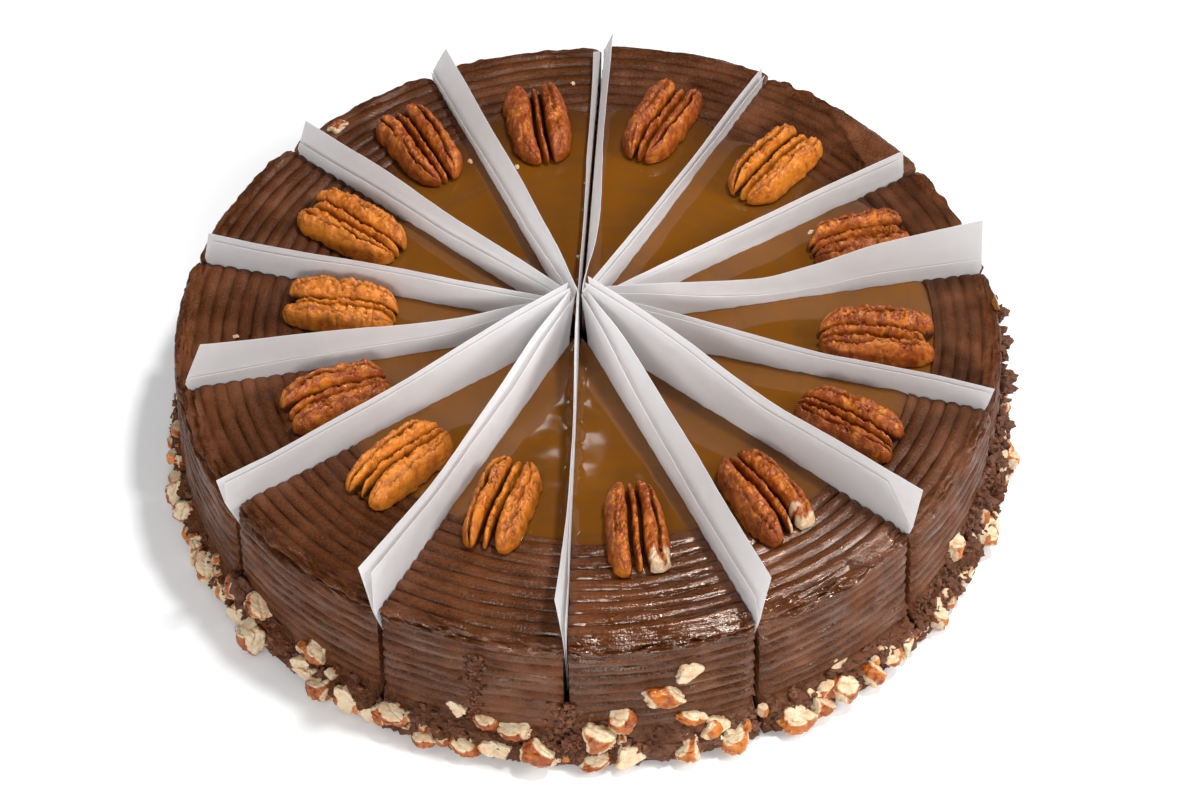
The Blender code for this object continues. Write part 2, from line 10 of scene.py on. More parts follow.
import bpy
import numpy as np
from bpy.props import FloatProperty, FloatVectorProperty, IntProperty, PointerProperty
from mathutils import Matrix, Vector, noise


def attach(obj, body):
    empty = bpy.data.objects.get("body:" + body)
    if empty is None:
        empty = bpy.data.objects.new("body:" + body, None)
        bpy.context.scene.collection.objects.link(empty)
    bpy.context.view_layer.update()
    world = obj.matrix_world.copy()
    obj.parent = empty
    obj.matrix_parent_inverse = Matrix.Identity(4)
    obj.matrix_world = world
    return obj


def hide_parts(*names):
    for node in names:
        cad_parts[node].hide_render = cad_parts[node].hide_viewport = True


bl_info = {
    "name": "Cheesecake dresser",
    "version": (1, 0, 0),
    "blender": (4, 5, 0),
    "location": "3D View > Sidebar > Cheesecake",
    "description": "Models frosting, caramel, nuts and paper round the solids of a sliced cheesecake",
    "category": "Object",
}

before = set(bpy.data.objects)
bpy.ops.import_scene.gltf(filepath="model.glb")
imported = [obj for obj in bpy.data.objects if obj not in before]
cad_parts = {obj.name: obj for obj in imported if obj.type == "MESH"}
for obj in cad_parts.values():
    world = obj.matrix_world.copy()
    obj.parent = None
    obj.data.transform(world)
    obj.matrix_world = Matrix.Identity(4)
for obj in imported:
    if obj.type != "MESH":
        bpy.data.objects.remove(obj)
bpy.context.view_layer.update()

MM = 0.001
SLICES = 14
SEED = 14

# ---- sizes that the frosting shares with its solid ----
HEIGHT = 48.9                   # crests on top, mm
RIDGE_OUTER = 119.6             # radius of the outermost groove on top, mm
SIDE_TOP = 44.8                 # highest groove of the side, mm
SIDE_BOTTOM = 12.6              # the combed side ends here, mm
FOOT_RADIUS = 130.0             # widest place of the foot, mm
CARAMEL_LEVEL = 48.5            # surface of the caramel, mm
BED = 47.2                      # floor of the bed that holds it, mm

# ---- one row a slice ----
# How rough the smeared rim is, how far the ridges sag at the cuts (mm), how deep the comb went in, how
# glossy it left the frosting, and how light its top is painted: below 1 the crests on top are painted
# darker, a painted shade on the slices that face away from the light.
SMEAR = (
    (0.8, 1.0, 0.9, 0.15, 0.95), (0.7, 1.0, 1.0, 0.15, 1.00), (0.6, 1.0, 0.9, 0.15, 0.70),
    (1.3, 1.0, 0.8, 0.10, 0.60), (0.9, 1.2, 0.9, 0.05, 0.30), (1.0, 1.4, 0.9, 0.05, 0.20),
    (1.0, 1.4, 1.0, 0.30, 0.60), (1.9, 1.6, 1.1, 0.75, 1.00), (1.7, 1.8, 1.1, 1.00, 1.00),
    (1.2, 1.8, 1.1, 0.55, 0.95), (1.7, 1.5, 1.0, 0.30, 0.90), (1.7, 1.4, 0.9, 0.15, 0.80),
    (1.2, 1.2, 0.9, 0.10, 0.65), (0.9, 1.0, 1.0, 0.15, 0.70),
)
# Wet places where the knife pressed the rim flat: slice, degrees of its middle, half its width in degrees
PRESSED_RIM = ((9, 275.0, 5.6), (9, 287.0, 5.4), (8, 312.0, 4.0))
# How far a thin film of caramel runs out over the frosting past the pool, on the slices that have one, mm
FILM = {1: 9.0, 2: 10.0, 3: 11.0, 4: 9.0, 5: 10.0}
# The flap of frosting folded over the rim: slice, degrees where it begins, how far its inner edge is from
# the middle there, and how much nearer it comes with every degree, mm
FLAP = (4, 50.0, 119.8, 0.82)
# Kernel: shift of its grooves, taper toward the middle, how dark its skin is, and which end is broken
# to the flesh (+1 the outer, -1 the inner, 0 neither).
KERNELS = (
    (0.10, 0.06, 0.80, 0), (-0.10, 0.02, 0.95, 0), (-0.20, 0.06, 0.90, 0), (-0.16, -0.02, 0.25, 0),
    (-0.06, -0.04, 0.80, 0), (-0.30, 0.00, 0.75, 0), (-0.20, 0.05, 0.90, 0), (-0.12, 0.10, 0.80, 1),
    (-0.02, 0.08, 0.75, 1), (0.00, -0.02, 0.30, 0), (0.12, 0.00, 0.05, 0), (0.20, 0.00, 0.80, 0),
    (0.32, -0.04, 0.10, 0), (0.20, 0.00, 0.20, 0),
)
# Chopped nuts in the foot that can be told apart: degrees about the middle, height of the middle above
# the table, width and height, mm. The solids carry the same ones.
CHOPPED = (
    (191.5, 5.5, 5, 8), (196.5, 9, 5, 7), (202, 5, 6, 9), (206.5, 6, 5, 10), (213, 12, 5, 9), (215, 5, 7, 6),
    (218.5, 14.5, 8, 7), (219, 5, 8, 9), (229, 6, 7, 5), (230, 15, 6, 7), (231.5, 5, 6, 7), (236, 5, 5, 9),
    (242.5, 8.5, 8, 5), (247.5, 4, 6, 5), (251.5, 16, 5, 5), (255.5, 13.5, 6, 4.5), (253, 4.5, 7, 4.5),
    (257.5, 5.5, 7.5, 5.5), (259.5, 12.5, 8.5, 4.5), (262.5, 7, 8, 7), (264, 3, 6, 4), (270.5, 12.5, 8, 9.5),
    (273.5, 18, 6, 9), (274.5, 5.5, 8, 7), (270, 3, 7, 4.5), (279, 26.5, 11, 6), (282.5, 35.5, 7, 6),
    (282, 5, 6.5, 6), (283, 15, 8, 4.5), (286, 10, 8, 5), (288, 4.5, 6.5, 7), (297, 5, 8.5, 7.5),
    (297.5, 3, 6, 5), (300.5, 5, 7, 6), (304, 7, 7, 7.5), (305, 13, 6.5, 4.5), (309, 5, 6, 7.5),
    (312.5, 6.5, 6, 4.5), (315.5, 5, 6, 6), (322, 4.5, 5, 7.5), (328.5, 21, 5.5, 8), (329.5, 5, 7, 5),
    (333, 13, 5, 6), (337, 7, 5, 6), (340.5, 5, 6, 7), (351.5, 5.5, 5, 7),
)
# Torn lumps of frosting at the right and at the left: degrees about the middle, distance from it, height
# of the middle above the table, size outward, along the rim and up, mm.
LUMPS = (
    (4.5, 126.8, 41.0, 4.5, 4.0, 4.0), (1.0, 127.0, 36.0, 5.0, 4.5, 4.5),
    (-3.0, 127.4, 29.0, 6.0, 4.0, 4.5), (-6.0, 127.5, 38.0, 5.0, 4.0, 3.6),
    (-10.0, 127.6, 26.0, 6.0, 4.0, 4.0), (-1.0, 127.8, 20.0, 6.5, 4.0, 4.0),
    (-16.0, 127.6, 24.0, 6.0, 4.5, 4.0), (-22.0, 127.8, 20.0, 6.0, 4.5, 4.5),
    (-28.0, 128.0, 15.0, 6.0, 5.0, 4.0), (-34.0, 128.0, 10.0, 6.0, 5.0, 4.5),
    (215.0, 128.0, 17.0, 5.0, 7.0, 5.0), (217.5, 128.0, 12.0, 5.0, 5.0, 8.0),
)
# Pale flecks of nut on top: degrees about the middle and distance from it, mm
FLECKS = (
    (92.0, 107.2), (107.4, 72.8), (180.7, 107.1), (297.7, 26.2), (53.3, 77.3), (29.0, 79.5), (348.9, 51.5),
    (73.3, 76.1), (295.5, 69.0), (116.8, 81.2),
)
SEAM = 254.0                    # degrees: crumbly line on the side where the comb was set down
FRONT_CUT = 266.3               # degrees: here the frosting tore at the foot of the cut


def linear(code):
    """An sRGB hex colour as linear red, green, blue and an alpha of 1."""
    parts = [int(code[i:i + 2], 16) / 255.0 for i in (1, 3, 5)]
    return tuple(c / 12.92 if c <= 0.04045 else ((c + 0.055) / 1.055) ** 2.4 for c in parts) + (1.0,)


def colour_property(name, description, code):
    """A colour setting whose default is an sRGB hex colour."""
    return FloatVectorProperty(name=name, description=description, subtype="COLOR", size=4, min=0.0,
                               max=1.0, default=linear(code))


def length_property(name, description, value):
    """A length setting, m."""
    return FloatProperty(name=name, description=description, default=value, min=0.0, unit="LENGTH",
                         precision=5)


# ---- settings ----
class FrostingSettings(bpy.types.PropertyGroup):
    pitch: length_property("Ridge pitch", "Distance between two crests on top", 0.0042)
    side_pitch: length_property("Side pitch", "Distance between two crests on the side", 0.0040)
    depth: length_property("Ridge depth", "From a crest down to the groove beside it", 0.00135)
    columns: IntProperty(name="Columns", description="Faces across one slice", default=84, min=8)
    colour: colour_property("Frosting", "Smooth chocolate frosting", "#582c0d")
    groove: colour_property("Groove", "Frosting in the shade of a groove", "#321706")
    bloom: colour_property("Bloom", "Frosting where the comb roughened it", "#74452a")


class CaramelSettings(bpy.types.PropertyGroup):
    colour: colour_property("Caramel", "Thick caramel", "#6d400b")
    streak: colour_property("Streak", "Darker streaks in the caramel", "#5d3c1c")
    thin: colour_property("Thin edge", "Caramel thin enough to show the chocolate", "#4f2e15")
    wave: length_property("Waves", "Height of the slow waves in its surface", 0.00016)


class KernelSettings(bpy.types.PropertyGroup):
    light: colour_property("Light skin", "Golden skin of a light kernel", "#c47221")
    dark: colour_property("Dark skin", "Red-brown skin of a dark kernel", "#873c12")
    # painted shade: this colour is laid into the grooves, the creases and the flanks by the gap
    groove: colour_property("Groove", "Skin at the bottom of a groove", "#230e06")
    flesh: colour_property("Flesh", "Broken nut", "#cebb9b")


class PaperSettings(bpy.types.PropertyGroup):
    thickness: length_property("Thickness", "Thickness of the waxed tissue", 0.00011)
    colour: colour_property("Paper", "Waxed tissue", "#f5f3f4")
    # painted light and shade: the tissue is painted whiter near the middle and greyer toward the rim
    outer: colour_property("Outer paper", "Waxed tissue near the rim, a little thinner and greyer", "#d7d4d4")
    through: colour_property("Light through", "Tint of light that comes through", "#fbfaf9")


class StageSettings(bpy.types.PropertyGroup):
    floor: colour_property("Floor", "Plain pale table", "#eeeeee")
    key: FloatProperty(name="Key light", description="Power that the softboxes have shares of",
                       default=16.0, min=0.0, unit="POWER")
    fill: FloatProperty(name="Fill", description="Strength of the light from all round", default=0.48,
                        min=0.0)
    dark: FloatProperty(name="Mirrored fill", description="What shiny surfaces mirror of it",
                        default=0.05, min=0.0)


# ---- reading the solids ----
def solid_points(node):
    """Every corner of a solid, mm."""
    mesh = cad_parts[node].data
    co = np.empty(len(mesh.vertices) * 3, np.float32)
    mesh.vertices.foreach_get("co", co)
    return co.reshape(-1, 3).astype(float) / MM


class Slice:
    """Where one slice lies: its tip, the directions of its two cut faces, and its radii, mm."""

    def __init__(self, n):
        pool = solid_points("caramel_%02d" % n)
        radius = np.hypot(pool[:, 0], pool[:, 1])
        self.n = n
        self.tip = pool[radius.argmin(), :2]
        self.reach = radius.max()
        edge = pool[radius > self.reach - 0.3, :2] - self.tip
        mean = edge.mean(axis=0)
        turn = np.arctan2(mean[0] * edge[:, 1] - mean[1] * edge[:, 0], edge @ mean)
        self.start = math.atan2(mean[1], mean[0]) + turn.min()
        self.span = turn.max() - turn.min()
        body = solid_points("slice_%02d" % n)
        out = np.hypot(body[:, 0], body[:, 1])
        low, high = HEIGHT - 3.7, HEIGHT - 2.0      # between them the solid has its rim
        self.rim = float(np.median(out[(body[:, 2] > low) & (body[:, 2] < high) & (out > 110.0)]))

    def place(self, radius, turn):
        """Where the ray from the tip in a direction meets a circle about the middle: x, y and the
        distance from the tip."""
        x, y = np.cos(turn), np.sin(turn)
        toward = self.tip[0] * x + self.tip[1] * y
        far = -toward + np.sqrt(np.maximum(toward ** 2 - self.tip @ self.tip + radius ** 2, 0.0))
        return self.tip[0] + x * far, self.tip[1] + y * far, far

    def from_cut(self, far, share):
        """Distance to the nearer cut face, for a distance from the tip and a share of the span."""
        return far * np.minimum(np.sin(share * self.span), np.sin((1.0 - share) * self.span))


def smooth(low, high, x):
    """0 at low, 1 at high and an even bend between the two."""
    t = np.clip((x - low) / (high - low), 0.0, 1.0)
    return t * t * (3.0 - 2.0 * t)


def grain(x, y, z, octaves=1):
    """Gradient noise, about -1 to 1, at many places that are already divided by its size."""
    x, y, z = np.broadcast_arrays(x, y, z)
    return np.array([noise.fractal(p, 0.6, 2.1, octaves) for p in zip(x.tolist(), y.tolist(), z.tolist())])


def bump_at(q, centre, width):
    """A rounded bump of height 1."""
    return np.exp(-((q - centre) / width) ** 2)


def creases(n, width):
    """Thin valleys where a noise passes through zero."""
    return np.exp(-(n / width) ** 2)


# ---- modelling helpers ----
def make_active(obj):
    """Select a piece, and nothing else, for the operators that follow."""
    for other in bpy.context.selected_objects:
        other.select_set(False)
    bpy.context.view_layer.objects.active = obj
    obj.select_set(True)


def in_edit_mode(obj, *steps):
    """Run mesh operators on all of a piece."""
    make_active(obj)
    bpy.ops.object.mode_set(mode="EDIT")
    for step in steps:
        bpy.ops.mesh.select_all(action="SELECT")
        step()
    bpy.ops.object.mode_set(mode="OBJECT")


def get_points(obj):
    co = np.empty(len(obj.data.vertices) * 3, np.float32)
    obj.data.vertices.foreach_get("co", co)
    return co.reshape(-1, 3).astype(float)


def set_points(obj, co):
    obj.data.vertices.foreach_set("co", np.asarray(co, np.float32).ravel())
    obj.data.update()


def get_values(obj, name, kind):
    data = obj.data.attributes[name].data
    values = np.empty(len(data), kind)
    data.foreach_get("value", values)
    return values


def set_values(obj, name, values, kind="FLOAT", domain="POINT"):
    made = obj.data.attributes.get(name) or obj.data.attributes.new(name, kind, domain)
    field = "vector" if kind == "FLOAT_VECTOR" else "value"
    made.data.foreach_set(field, np.asarray(values, np.float32).ravel())


def finish_piece(obj, name, material, slot, *nodes):
    """Name a finished piece, give it its material, and let it stand for its solids."""
    obj.name = name
    obj.data.name = name
    obj.data.materials.clear()
    obj.data.materials.append(material)
    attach(obj, "root")
    if nodes:
        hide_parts(*nodes)
    return obj


def wedge(outline, part, columns):
    """A closed wedge of the cake: an outline of (radius, height) is filled and spun from one cut face
    to the other. Returns the piece and for each corner its row, its (radius, height) and how far across
    the slice it lies, 0 to 1."""
    bpy.ops.mesh.primitive_circle_add(vertices=len(outline), radius=1.0, fill_type="NOTHING")
    obj = bpy.context.object
    flat = np.zeros((len(outline), 3))
    flat[:, 0] = [r for r, z in outline]
    flat[:, 2] = [z for r, z in outline]
    set_points(obj, flat * MM)
    rows = obj.data.attributes.new("row", "INT", "POINT")
    rows.data.foreach_set("value", np.arange(len(outline), dtype=np.int32))
    in_edit_mode(
        obj,
        bpy.ops.mesh.edge_face_add,
        lambda: bpy.ops.mesh.spin(steps=columns, angle=-part.span, center=(0, 0, 0), axis=(0, 0, 1)),
        lambda: bpy.ops.mesh.remove_doubles(threshold=0.000002),
        lambda: bpy.ops.mesh.normals_make_consistent(inside=False),
    )
    co = get_points(obj)
    row = get_values(obj, "row", np.int32)
    turn = np.abs(np.arctan2(co[:, 1], co[:, 0]))
    share = np.where(np.hypot(co[:, 0], co[:, 1]) > 1e-7, turn / part.span, 0.5)
    share = np.clip(share, 0.0, 1.0)
    # the columns crowd together near the two cut faces
    share = share - 0.6 * np.sin(2 * np.pi * share) / (2 * np.pi)
    return obj, row, np.array(outline)[row], share


def relax_shading(obj, degrees=60.0):
    """Shade a piece smooth, but for its edges that are sharper than an angle."""
    make_active(obj)
    bpy.ops.object.shade_smooth_by_angle(angle=math.radians(degrees))
    obj.select_set(False)


# ---- materials ----
def plug(tree, node, sockets):
    """Give each socket of a node a value, or link it to the output that feeds it."""
    for key, value in sockets.items():
        if isinstance(value, bpy.types.NodeSocket):
            tree.links.new(value, node.inputs[key])
        else:
            node.inputs[key].default_value = value


def put(tree, kind, sockets=None, out=0, **props):
    """Add a shader node with its sockets and properties, and return one of its outputs."""
    node = tree.nodes.new("ShaderNode" + kind)
    for key, value in props.items():
        setattr(node, key, value)
    plug(tree, node, sockets or {})
    return node.outputs[out]


def new_material(name, **sockets):
    """A material with an empty tree but for its Principled BSDF."""
    mat = bpy.data.materials.new(name)
    mat.use_nodes = True
    shader = mat.node_tree.nodes["Principled BSDF"]
    plug(mat.node_tree, shader, {key.replace("_", " "): value for key, value in sockets.items()})
    return mat, mat.node_tree, shader


def frosting_material(setup):
    """Chocolate buttercream, combed: satin where the comb polished it, dull and paler where it tore, with
    painted shade in its grooves.
    """
    mat, tree, shader = new_material("chocolate buttercream", IOR=1.46,
                                     Specular_Tint=(1.0, 0.85, 0.75, 1.0))
    where = put(tree, "TexCoord", out="Object")
    stroke = put(tree, "Attribute", out="Vector", attribute_name="stroke")
    crest, crumbly, gloss = (put(tree, "Attribute", out="Fac", attribute_name=name)
                             for name in ("crest", "crumbly", "gloss"))
    # patches about 14 mm across, and streaks 10 mm by 0.8 mm along the comb's stroke
    patch = put(tree, "TexNoise", {"Vector": where, "Scale": 70.0, "Detail": 3.0})
    streak_at = put(tree, "Mapping", {"Vector": stroke, "Scale": (0.1, 1.25, 1.0)})
    streak = put(tree, "TexNoise", {"Vector": streak_at, "Scale": 1.0, "Detail": 4.0, "Roughness": 0.6})
    # grain of 0.7 mm, which leaves dark dots on the crests
    speck = put(tree, "TexNoise", {"Vector": where, "Scale": 1500.0, "Detail": 2.0})
    dots = put(tree, "MapRange", {0: speck, 1: 0.36, 2: 0.58, 3: 0.2, 4: 1.0})
    # painted shade: toward a groove the frosting takes the darker groove colour
    lit = put(tree, "Math", {0: crest, 1: dots}, operation="MULTIPLY")
    shade = put(tree, "Mix", {0: lit, 6: setup.groove, 7: setup.colour}, 2, data_type="RGBA")
    # paler in some of the patches and where it is crumbly
    torn = put(tree, "MapRange", {0: patch, 1: 0.45, 2: 0.75, 3: 0.0, 4: 0.6})
    foot = put(tree, "Math", {0: crumbly, 1: 0.6}, operation="MULTIPLY")
    rough = put(tree, "Math", {0: torn, 1: foot}, operation="MAXIMUM")
    tone = put(tree, "Mix", {0: rough, 6: shade, 7: setup.bloom}, 2, data_type="RGBA")
    # with its gloss it gets smoother and oilier, and its grain lower
    satin = put(tree, "MapRange", {0: gloss, 1: 0.0, 2: 1.0, 3: 0.46, 4: 0.14})
    oily = put(tree, "MapRange", {0: gloss, 1: 0.0, 2: 1.0, 3: 0.2, 4: 0.8})
    grit = put(tree, "MapRange", {0: gloss, 1: 0.0, 2: 1.0, 3: 0.75, 4: 0.27})
    uneven = put(tree, "MapRange", {0: streak, 1: 0.3, 2: 0.7, 3: -0.05, 4: 0.08})
    base = put(tree, "Math", {0: satin, 1: uneven}, operation="ADD")
    dull = put(tree, "Math", {0: crumbly, 1: 0.32, 2: base}, operation="MULTIPLY_ADD")
    # crumb of about 1 mm where the frosting is torn, and over it the streaks and the grain
    crumb = put(tree, "TexNoise", {"Vector": where, "Scale": 750.0, "Detail": 4.0, "Roughness": 0.7})
    coarse = put(tree, "Bump", {"Strength": crumbly, "Distance": 0.0011, "Height": crumb})
    low = put(tree, "Bump", {"Strength": 0.4, "Distance": 0.0004, "Height": streak, "Normal": coarse})
    high = put(tree, "Bump", {"Strength": grit, "Distance": 0.0004, "Height": speck, "Normal": low})
    plug(tree, shader, {"Base Color": tone, "Specular IOR Level": oily, "Roughness": dull, "Normal": high})
    return mat


def caramel_material(setup):
    """Poured caramel: a deep wet gloss over cooked sugar, with slow darker streaks."""
    mat, tree, shader = new_material("poured caramel", IOR=1.49, Roughness=0.06)
    where = put(tree, "TexCoord", out="Object")
    stroke = put(tree, "Attribute", out="Vector", attribute_name="stroke")
    thin = put(tree, "Attribute", out="Fac", attribute_name="thin")
    # streaks about 25 mm by 5 mm that the palette knife left round the cake
    swirl = put(tree, "TexNoise", {"Vector": stroke, "Scale": 1.0, "Detail": 4.0, "Distortion": 0.8})
    band = put(tree, "MapRange", {0: swirl, 1: 0.42, 2: 0.70, 3: 0.0, 4: 0.55})
    body = put(tree, "Mix", {0: band, 6: setup.colour, 7: setup.streak}, 2, data_type="RGBA")
    tone = put(tree, "Mix", {0: thin, 6: body, 7: setup.thin}, 2, data_type="RGBA")
    ripple = put(tree, "TexNoise", {"Vector": where, "Scale": 90.0, "Detail": 1.0})
    bump = put(tree, "Bump", {"Strength": 0.2, "Distance": 0.0006, "Height": ripple})
    plug(tree, shader, {"Base Color": tone, "Normal": bump})
    return mat


def skin_and_flesh(tree, setup, where):
    """Colour of a nut: mottled skin, with painted shade in the grooves, and pale flesh where it is broken."""
    shade, groove, flesh = (put(tree, "Attribute", out="Fac", attribute_name=name)
                            for name in ("shade", "groove", "flesh"))
    mottle = put(tree, "TexNoise", {"Vector": where, "Scale": 380.0, "Detail": 4.0, "Roughness": 0.6})
    spread = put(tree, "MapRange", {0: mottle, 1: 0.3, 2: 0.7, 3: -0.6, 4: 0.6})
    darkness = put(tree, "Math", {0: spread, 1: shade}, operation="ADD", use_clamp=True)
    skin = put(tree, "Mix", {0: darkness, 6: setup.light, 7: setup.dark}, 2, data_type="RGBA")
    # painted shade: the skin darkens toward the groove colour in the grooves, the creases and by the gap
    deep = put(tree, "Mix", {0: groove, 6: skin, 7: setup.groove}, 2, data_type="RGBA")
    vein = put(tree, "MapRange", {0: mottle, 1: 0.46, 2: 0.66, 3: 0.0, 4: 0.5})
    inside = put(tree, "Mix", {0: vein, 6: setup.flesh, 7: setup.light}, 2, data_type="RGBA")
    return put(tree, "Mix", {0: flesh, 6: deep, 7: inside}, 2, data_type="RGBA")


def kernel_material(setup):
    """Roasted kernel skin: thin, oily and wrinkled, with a soft shine on the high places."""
    mat, tree, shader = new_material("roasted kernel", IOR=1.47, Roughness=0.34, Specular_IOR_Level=0.4,
                                     Specular_Tint=(1.0, 0.85, 0.72, 1.0), Coat_Weight=0.2,
                                     Coat_Roughness=0.12)
    where = put(tree, "TexCoord", out="Object")
    # wrinkles of 1 mm and pores of 0.4 mm
    wrinkle = put(tree, "TexNoise", {"Vector": where, "Scale": 800.0, "Detail": 4.0, "Roughness": 0.65})
    pore = put(tree, "TexVoronoi", {"Vector": where, "Scale": 2400.0})
    low = put(tree, "Bump", {"Strength": 0.8, "Distance": 0.0006, "Height": wrinkle})
    high = put(tree, "Bump", {"Strength": 0.2, "Distance": 0.0002, "Height": pore, "Normal": low})
    plug(tree, shader, {"Base Color": skin_and_flesh(tree, setup, where), "Normal": high})
    return mat


def paper_material(setup):
    """Waxed tissue: matt, a little milky, with light coming through and faint creases, and painted light and
    shade: whiter near the middle, greyer toward the rim.
    """
    mat, tree, shader = new_material("waxed tissue", IOR=1.48, Roughness=0.5)
    where = put(tree, "TexCoord", out="Object")
    painted_shade_rimward = put(tree, "Attribute", out="Fac", attribute_name="painted_shade_rimward")
    cloud = put(tree, "TexNoise", {"Vector": where, "Scale": 160.0, "Detail": 3.0})
    dim = put(tree, "MapRange", {0: cloud, 1: 0.3, 2: 0.7, 3: 0.93, 4: 1.0})
    # painted light and shade: the sheet turns from its whiter colour to the greyer outer colour toward the
    # rim
    sheet = put(tree, "Mix", {0: painted_shade_rimward, 6: setup.colour, 7: setup.outer}, 2, data_type="RGBA")
    tone = put(tree, "Mix", {0: 1.0, 6: sheet, 7: dim}, 2, data_type="RGBA", blend_type="MULTIPLY")
    crease = put(tree, "Bump", {"Strength": 0.25, "Distance": 0.0006, "Height": cloud})
    plug(tree, shader, {"Base Color": tone, "Normal": crease})
    glow = put(tree, "BsdfTranslucent", {"Color": setup.through})
    mixed = put(tree, "MixShader", {0: 0.5, 1: shader.outputs[0], 2: glow})
    plug(tree, tree.nodes["Material Output"], {"Surface": mixed})
    return mat


def crumb_material(setup):
    """Crumbs of frosting and chocolate sponge: dry, dull and a little paler than the frosting."""
    mat, tree, shader = new_material("chocolate crumb", IOR=1.45, Roughness=0.72)
    where = put(tree, "TexCoord", out="Object")
    shade = put(tree, "Attribute", out="Fac", attribute_name="shade")
    speck = put(tree, "TexNoise", {"Vector": where, "Scale": 500.0, "Detail": 3.0})
    pale = put(tree, "Math", {0: speck, 1: 0.6, 2: shade}, operation="MULTIPLY_ADD", use_clamp=True)
    tone = put(tree, "Mix", {0: pale, 6: setup.groove, 7: setup.bloom}, 2, data_type="RGBA")
    grit = put(tree, "TexNoise", {"Vector": where, "Scale": 1800.0, "Detail": 2.0})
    bump = put(tree, "Bump", {"Strength": 0.6, "Distance": 0.0003, "Height": grit})
    plug(tree, shader, {"Base Color": tone, "Normal": bump})
    return mat


# ---- frosting ----
STEP = 0.42                     # spacing of the rows where the comb went, mm
TOP_END = 120.6                 # here the top ends and the rim begins to round off, mm from the middle
RIM_ROWS = 16                   # rows round the rim
FOOT_ROWS = 26                  # rows down the foot
MIDDLE = 20.0                   # a circle smaller than this may miss the tip of a slice, mm
LIP_LINE = TOP_END + 0.4 - SIDE_TOP     # radius less height where the ragged lip of the rim hangs, mm


def foot_curve(rim, count):
    """The foot: from under the lowest groove it bulges out and then draws in a little at the table."""
    for k in range(1, count + 1):
        share = k / count
        z = SIDE_BOTTOM * (1.0 - share)
        out = (FOOT_RADIUS - rim) * math.sin(min(share * 1.9, 1.0) * math.pi / 2) ** 1.4
        draw = 1.4 * max(0.0, share - 0.7) ** 2 / 0.09
        yield rim + out - draw, z


def frosting_outline(part):
    """Closed outline of a slice, without its ridges: (radius, height) from the tip over the rim."""
    rise = part.reach - 2.6
    rows = [(0.0, BED), (rise, BED), (rise + 0.5, HEIGHT - 1.2), (rise + 1.0, HEIGHT - 0.4)]
    count = int((TOP_END - rise - 1.4) / STEP)
    rows += [(rise + 1.4 + k * STEP, HEIGHT) for k in range(count)]
    wide, tall = part.rim - TOP_END, HEIGHT - SIDE_TOP + 0.4
    for k in range(RIM_ROWS):
        a = math.pi / 2 * k / RIM_ROWS
        rows.append((TOP_END + wide * math.sin(a) ** 0.8, HEIGHT - tall * (1.0 - math.cos(a) ** 0.8)))
    count = int((SIDE_TOP - 0.4 - SIDE_BOTTOM) / STEP)
    rows += [(part.rim + 1.0 * k / count, SIDE_TOP - 0.4 - k * STEP) for k in range(count)]
    rows += list(foot_curve(part.rim + 1.0, FOOT_ROWS))
    rows += [(100.0, 0.0), (0.0, 0.0)]
    return rows


def comb(place):
    """Height between 0, a narrow groove, and 1, a rounded crest, for a place counted in ridges."""
    return np.abs(np.sin(np.pi * place)) ** 0.5


def outline_normals(rows):
    """Outward direction of every point of an outline, (radius, height)."""
    line = np.array(rows)
    along = np.gradient(line, axis=0)
    along /= np.maximum(np.linalg.norm(along, axis=1, keepdims=True), 1e-9)
    return np.stack([-along[:, 1], along[:, 0]], axis=1)


class Skin:
    """The corners of a slice before comb and knife shape them: where they lie, mm, and how far each
    belongs to the combed top and side, the rim, the foot and the comb's seam, 0 to 1. Each noise adds
    a number of its own to the seed, so that no two are alike."""

    def __init__(self, part, places, share):
        self.part, self.seed = part, 7.3 * part.n
        radius, height = places.T
        self.radius, self.height, self.share = radius, height, share
        self.turn = part.start + share * part.span
        self.x, self.y, self.far = part.place(np.maximum(radius, MIDDLE), self.turn)
        self.from_cut = part.from_cut(self.far, share)
        around = np.arctan2(self.y, self.x)
        self.degrees = np.degrees(around) % 360.0
        self.arc = around * radius
        self.top = smooth(part.reach - 2.0, part.reach - 0.4, radius) * (height > HEIGHT - 1.0)
        self.top *= 1.0 - smooth(TOP_END - 1.2, TOP_END + 0.8, radius)
        self.side = smooth(SIDE_TOP + 0.8, SIDE_TOP - 0.8, height)
        self.side *= smooth(SIDE_BOTTOM - 1.4, SIDE_BOTTOM + 0.8, height)
        self.rim = smooth(TOP_END - 2.0, TOP_END + 0.8, radius)
        self.rim *= smooth(SIDE_TOP - 2.4, SIDE_TOP + 1.0, height)
        self.foot = smooth(SIDE_BOTTOM + 2.4, SIDE_BOTTOM - 2.0, height) * (height > 0.05)
        self.along = np.where(self.side + self.foot > 0.5, height, radius)
        away = (around - math.radians(SEAM) + math.pi) % (2 * math.pi) - math.pi
        width = 1.6 + 1.4 * grain(height / 3.0, self.seed, 0.5)
        self.seam = 0.75 * bump_at(away * radius, 0.0, width)
        self.seam *= smooth(SIDE_TOP + 1.0, SIDE_TOP - 3.0, height)


